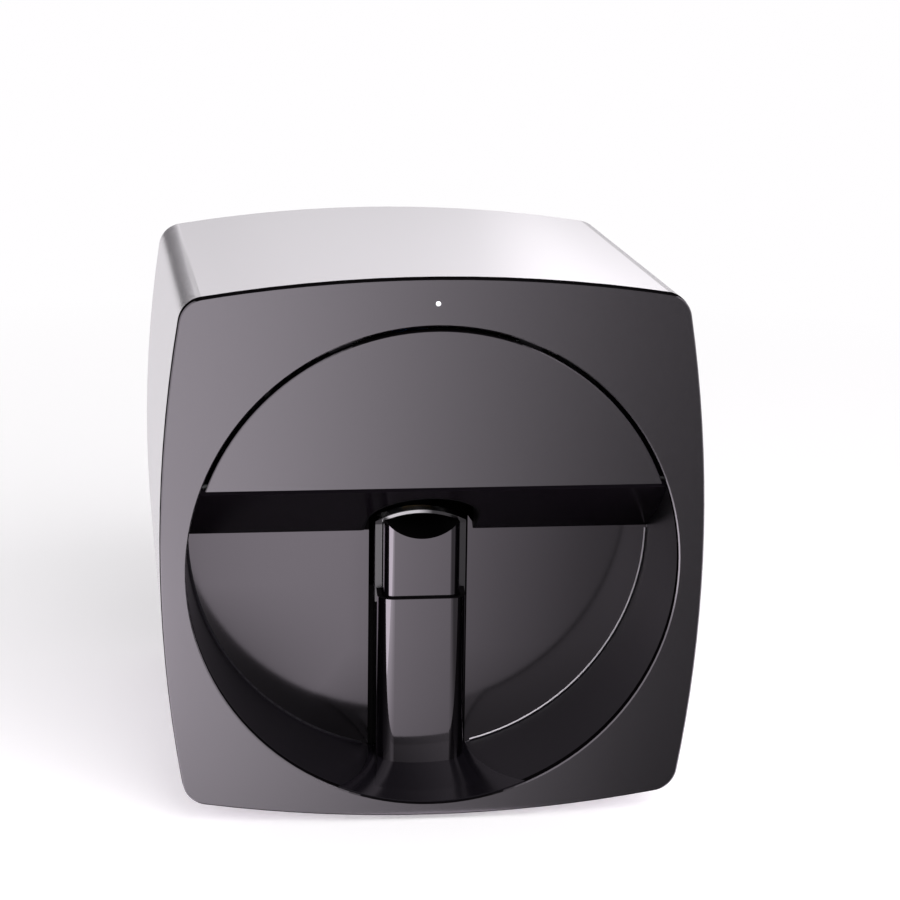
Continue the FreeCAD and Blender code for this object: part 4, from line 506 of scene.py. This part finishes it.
def surface(name, color, roughness, metallic=0.0, coat=0.0, specular=0.5, grain=0.0, mottle=0.0,
            bump=0.0, mask=None, mask_color=PAINTED_SHADE_BLACK, mask_roughness=0.7, mask_metallic=0.0):
    """A painted or moulded finish: colour mottle, roughness grain and a fine bump, all procedural.

    Where the mask is 1, the mask's colour, roughness and metallic level take over. The masks here
    lay painted shade, painted reflection and a painted highlight.
    """
    mat, tree, out = new_nodes(name)
    shader = tree.nodes.new("ShaderNodeBsdfPrincipled")
    put(tree, out.inputs["Surface"], shader.outputs[0])
    settings = {"Metallic": metallic, "IOR": IOR, "Specular IOR Level": specular,
                "Coat Weight": coat, "Coat Roughness": COAT_ROUGHNESS,
                "Base Color": (*color, 1), "Roughness": roughness}
    for socket, value in settings.items():
        shader.inputs[socket].default_value = value
    base = (*color, 1)
    rough = roughness
    if mottle:
        mottled = noise(tree, MOTTLE_SCALE, MOTTLE_DETAIL)
        tint = tree.nodes.new("ShaderNodeVectorMath")
        tint.operation = "SCALE"
        tint.inputs[0].default_value = color
        put(tree, tint.inputs["Scale"],
            spread(tree, mottled, *NOISE_RANGE, 1 - mottle, 1 + mottle))
        base = tint.outputs[0]
    if grain or bump:
        fine = noise(tree, GRAIN_SCALE, GRAIN_DETAIL)
    if grain:
        rough = spread(tree, fine, *NOISE_RANGE, roughness - grain, roughness + grain)
    if bump:
        relief = tree.nodes.new("ShaderNodeBump")
        relief.inputs["Strength"].default_value = bump
        relief.inputs["Distance"].default_value = BUMP_DEPTH
        put(tree, relief.inputs["Height"], fine)
        put(tree, shader.inputs["Normal"], relief.outputs[0])
    if mask:
        covered = mask(tree)
        mix = tree.nodes.new("ShaderNodeMix")
        mix.data_type = "RGBA"
        put(tree, mix.inputs["Factor"], covered)
        put(tree, mix.inputs["A"], base)
        put(tree, mix.inputs["B"], (*mask_color, 1))
        base = mix.outputs["Result"]
        rough = blend(tree, covered, rough, mask_roughness)
        put(tree, shader.inputs["Metallic"], blend(tree, covered, metallic, mask_metallic))
    put(tree, shader.inputs["Base Color"], base)
    put(tree, shader.inputs["Roughness"], rough)
    return mat


# The nodes with a finish of their own come first.  The rest take their material slot's.
NODE_FINISHES = {
    # The well's near-black paint carries a pale painted highlight on its far bead.
    "recess_well": surface("well_paint", (0.007, 0.006, 0.008), 0.3, specular=0.14, grain=0.01,
                           mask=well_bead_painted_highlight, mask_color=(0.62, 0.58, 0.63)),
    "recess_soffit": surface("soffit_black", (0.0055, 0.0042, 0.006), 0.14, specular=0.004,
                             grain=0.01),
    # The rest's and the sleeve's masks paint black shade on the dish, the sleeve's top and its part
    # behind the recess.
    "finger_rest": surface("rest_gloss", GLOSS, 0.06, metallic=1.0, specular=0.1, grain=0.01,
                           mask=upper_faces),
    "finger_rest_sleeve": surface("sleeve_gloss", GLOSS, 0.06, metallic=1.0, specular=0.1,
                                  grain=0.01, mask=sleeve_painted_shade),
    # The hood's mask paints a dark reflection on its right half and shade on its legs and
    # shoulders.
    "finger_tunnel_hood": surface("hood_satin", (0.92, 0.88, 0.93), 0.2, metallic=1.0, grain=0.02,
                                  mask=hood_painted_shade, mask_color=(0.03, 0.027, 0.031),
                                  mask_roughness=0.2, mask_metallic=1.0),
    "column_foot": surface("foot_black", (0.006, 0.005, 0.007), 0.15, specular=0.16, grain=0.02),
}
SLOT_FINISHES = {
    # The shell's and the fascia's masks paint black shade on the rim, the sides and the level
    # bevels.
    "shell_finish": surface("pearl_shell", (0.88, 0.826, 0.89), 0.2, metallic=0.85, specular=0.1,
                            grain=0.006, mask=shell_painted_rim_shade),
    "fascia_finish": surface("graphite_paint", (0.205, 0.186, 0.209), 0.2, metallic=1.0,
                             specular=0.0, grain=0.015, mask=fascia_painted_edge_shade),
    # The back plate's mask paints a shadow on its left ear and a dark reflection to its left and
    # foot.
    "recess_gloss": surface("piano_black", GLOSS, 0.10, metallic=1.0, grain=0.01,
                            mask=plate_painted_shade, mask_roughness=0.10, mask_metallic=1.0),
    "black_matte": surface("black_moulding", (0.004, 0.0035, 0.0045), 0.6, specular=0.05, bump=0.2),
    "rear_plastic": surface("grey_moulding", (0.10, 0.10, 0.105), 0.5, bump=0.3),
    "rubber": surface("foot_rubber", (0.02, 0.02, 0.02), 0.8, bump=0.4),
    "steel": surface("ground_steel", (0.56, 0.56, 0.57), 0.25, metallic=1.0, grain=0.05),
    "screw_steel": surface("black_screw", (0.05, 0.05, 0.052), 0.4, metallic=1.0, grain=0.05),
    "magnet": surface("nickel", (0.62, 0.60, 0.58), 0.2, metallic=1.0, grain=0.04),
    "frame_metal": surface("sheet_aluminium", (0.60, 0.61, 0.62), 0.38, metallic=1.0, grain=0.06),
    "bearing": surface("bearing_polymer", (0.62, 0.56, 0.40), 0.5, bump=0.1),
    "brass": surface("turned_brass", (0.78, 0.58, 0.27), 0.25, metallic=1.0, grain=0.05),
    "motor_metal": surface("motor_black", (0.03, 0.03, 0.032), 0.45, metallic=0.3, grain=0.05),
    "board_green": surface("solder_mask", (0.01, 0.10, 0.04), 0.3, mottle=0.1),
    "chip_black": surface("chip_epoxy", (0.015, 0.015, 0.017), 0.5, bump=0.1),
    "light_white": surface("light_pipe", (0.95, 0.95, 1.0), 0.2),
    "lens": surface("coated_glass", (0.02, 0.02, 0.05), 0.05, coat=1.0),
    "belt_rubber": surface("belt_rubber", (0.015, 0.015, 0.015), 0.7, bump=0.3),
    "cartridge_plastic": surface("cartridge_shell", (0.025, 0.027, 0.032), 0.45, bump=0.2),
    # Its colour is darkened well below gold: painted shade for the nozzle plate inside the housing.
    "nozzle_gold": surface("nozzle_gold", (0.34, 0.25, 0.11), 0.35, metallic=1.0, grain=0.05),
    "moving_plastic": surface("glass_filled_nylon", (0.16, 0.165, 0.175), 0.5, bump=0.2),
    "latch_blue": surface("latch_blue", (0.03, 0.14, 0.35), 0.4, bump=0.1),
    "felt": surface("felt", (0.60, 0.58, 0.54), 0.95, bump=0.8, mottle=0.1),
}


def dress_cad_nodes():
    slots = {entry["node"]: entry["material_slot"] for entry in frame["record"]["subparts"]}
    for name, obj in frame["nodes"].items():
        obj.data.materials.clear()
        obj.data.materials.append(NODE_FINISHES.get(name) or SLOT_FINISHES[slots[name]])


# ---------------------------------------------------------------- spring
SPRING_WIRE = 0.0007
SPRING_TURNS = 8
STEPS_PER_TURN = 40
WIRE_SIDES = 12


def wire_ring(mesh, centre, outward):
    """One round section of the wire, in the plane of outward and the vertical."""
    ring = []
    for side in range(WIRE_SIDES):
        angle = math.tau * side / WIRE_SIDES
        ring.append(mesh.verts.new(centre + SPRING_WIRE * math.cos(angle) * outward
                                   + Vector((0, 0, SPRING_WIRE * math.sin(angle)))))
    return ring


def coil_mesh(low, high):
    """A round wire in a helix that fills the box between two corners."""
    axis = (low + high) / 2
    radius = (high.x - low.x) / 2 - SPRING_WIRE
    steps = SPRING_TURNS * STEPS_PER_TURN
    mesh = bmesh.new()
    rings = []
    for step in range(steps + 1):
        turn = math.tau * step / STEPS_PER_TURN
        outward = Vector((math.cos(turn), math.sin(turn), 0))
        z = low.z + SPRING_WIRE + (high.z - low.z - 2 * SPRING_WIRE) * step / steps
        rings.append(wire_ring(mesh, Vector((axis.x, axis.y, z)) + radius * outward, outward))
    for first, second in zip(rings, rings[1:]):
        for side in range(WIRE_SIDES):
            after = (side + 1) % WIRE_SIDES
            mesh.faces.new((first[side], first[after], second[after], second[side]))
    mesh.faces.new(rings[0][::-1])
    mesh.faces.new(rings[-1])
    bmesh.ops.recalc_face_normals(mesh, faces=mesh.faces)
    for face in mesh.faces:
        face.smooth = len(face.verts) == 4
    data = bpy.data.meshes.new("spring_coil")
    mesh.to_mesh(data)
    mesh.free()
    return data


def rest_spring():
    """The spring under the finger rest, a helix in place of the CAD spring."""
    low, high = (Vector(corner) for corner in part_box("rest_spring"))
    spring = add_object("spring_coil", coil_mesh(low, high))
    spring.data.materials.append(SLOT_FINISHES["steel"])
    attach(spring, "housing")
    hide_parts("rest_spring")
    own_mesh(spring)


bpy.context.scene.view_settings.view_transform = "Standard"
make_camera()
make_world()
make_floor()
make_cards()
for lamp in LAMPS:
    area_light(*lamp)
dress_cad_nodes()
rest_spring()
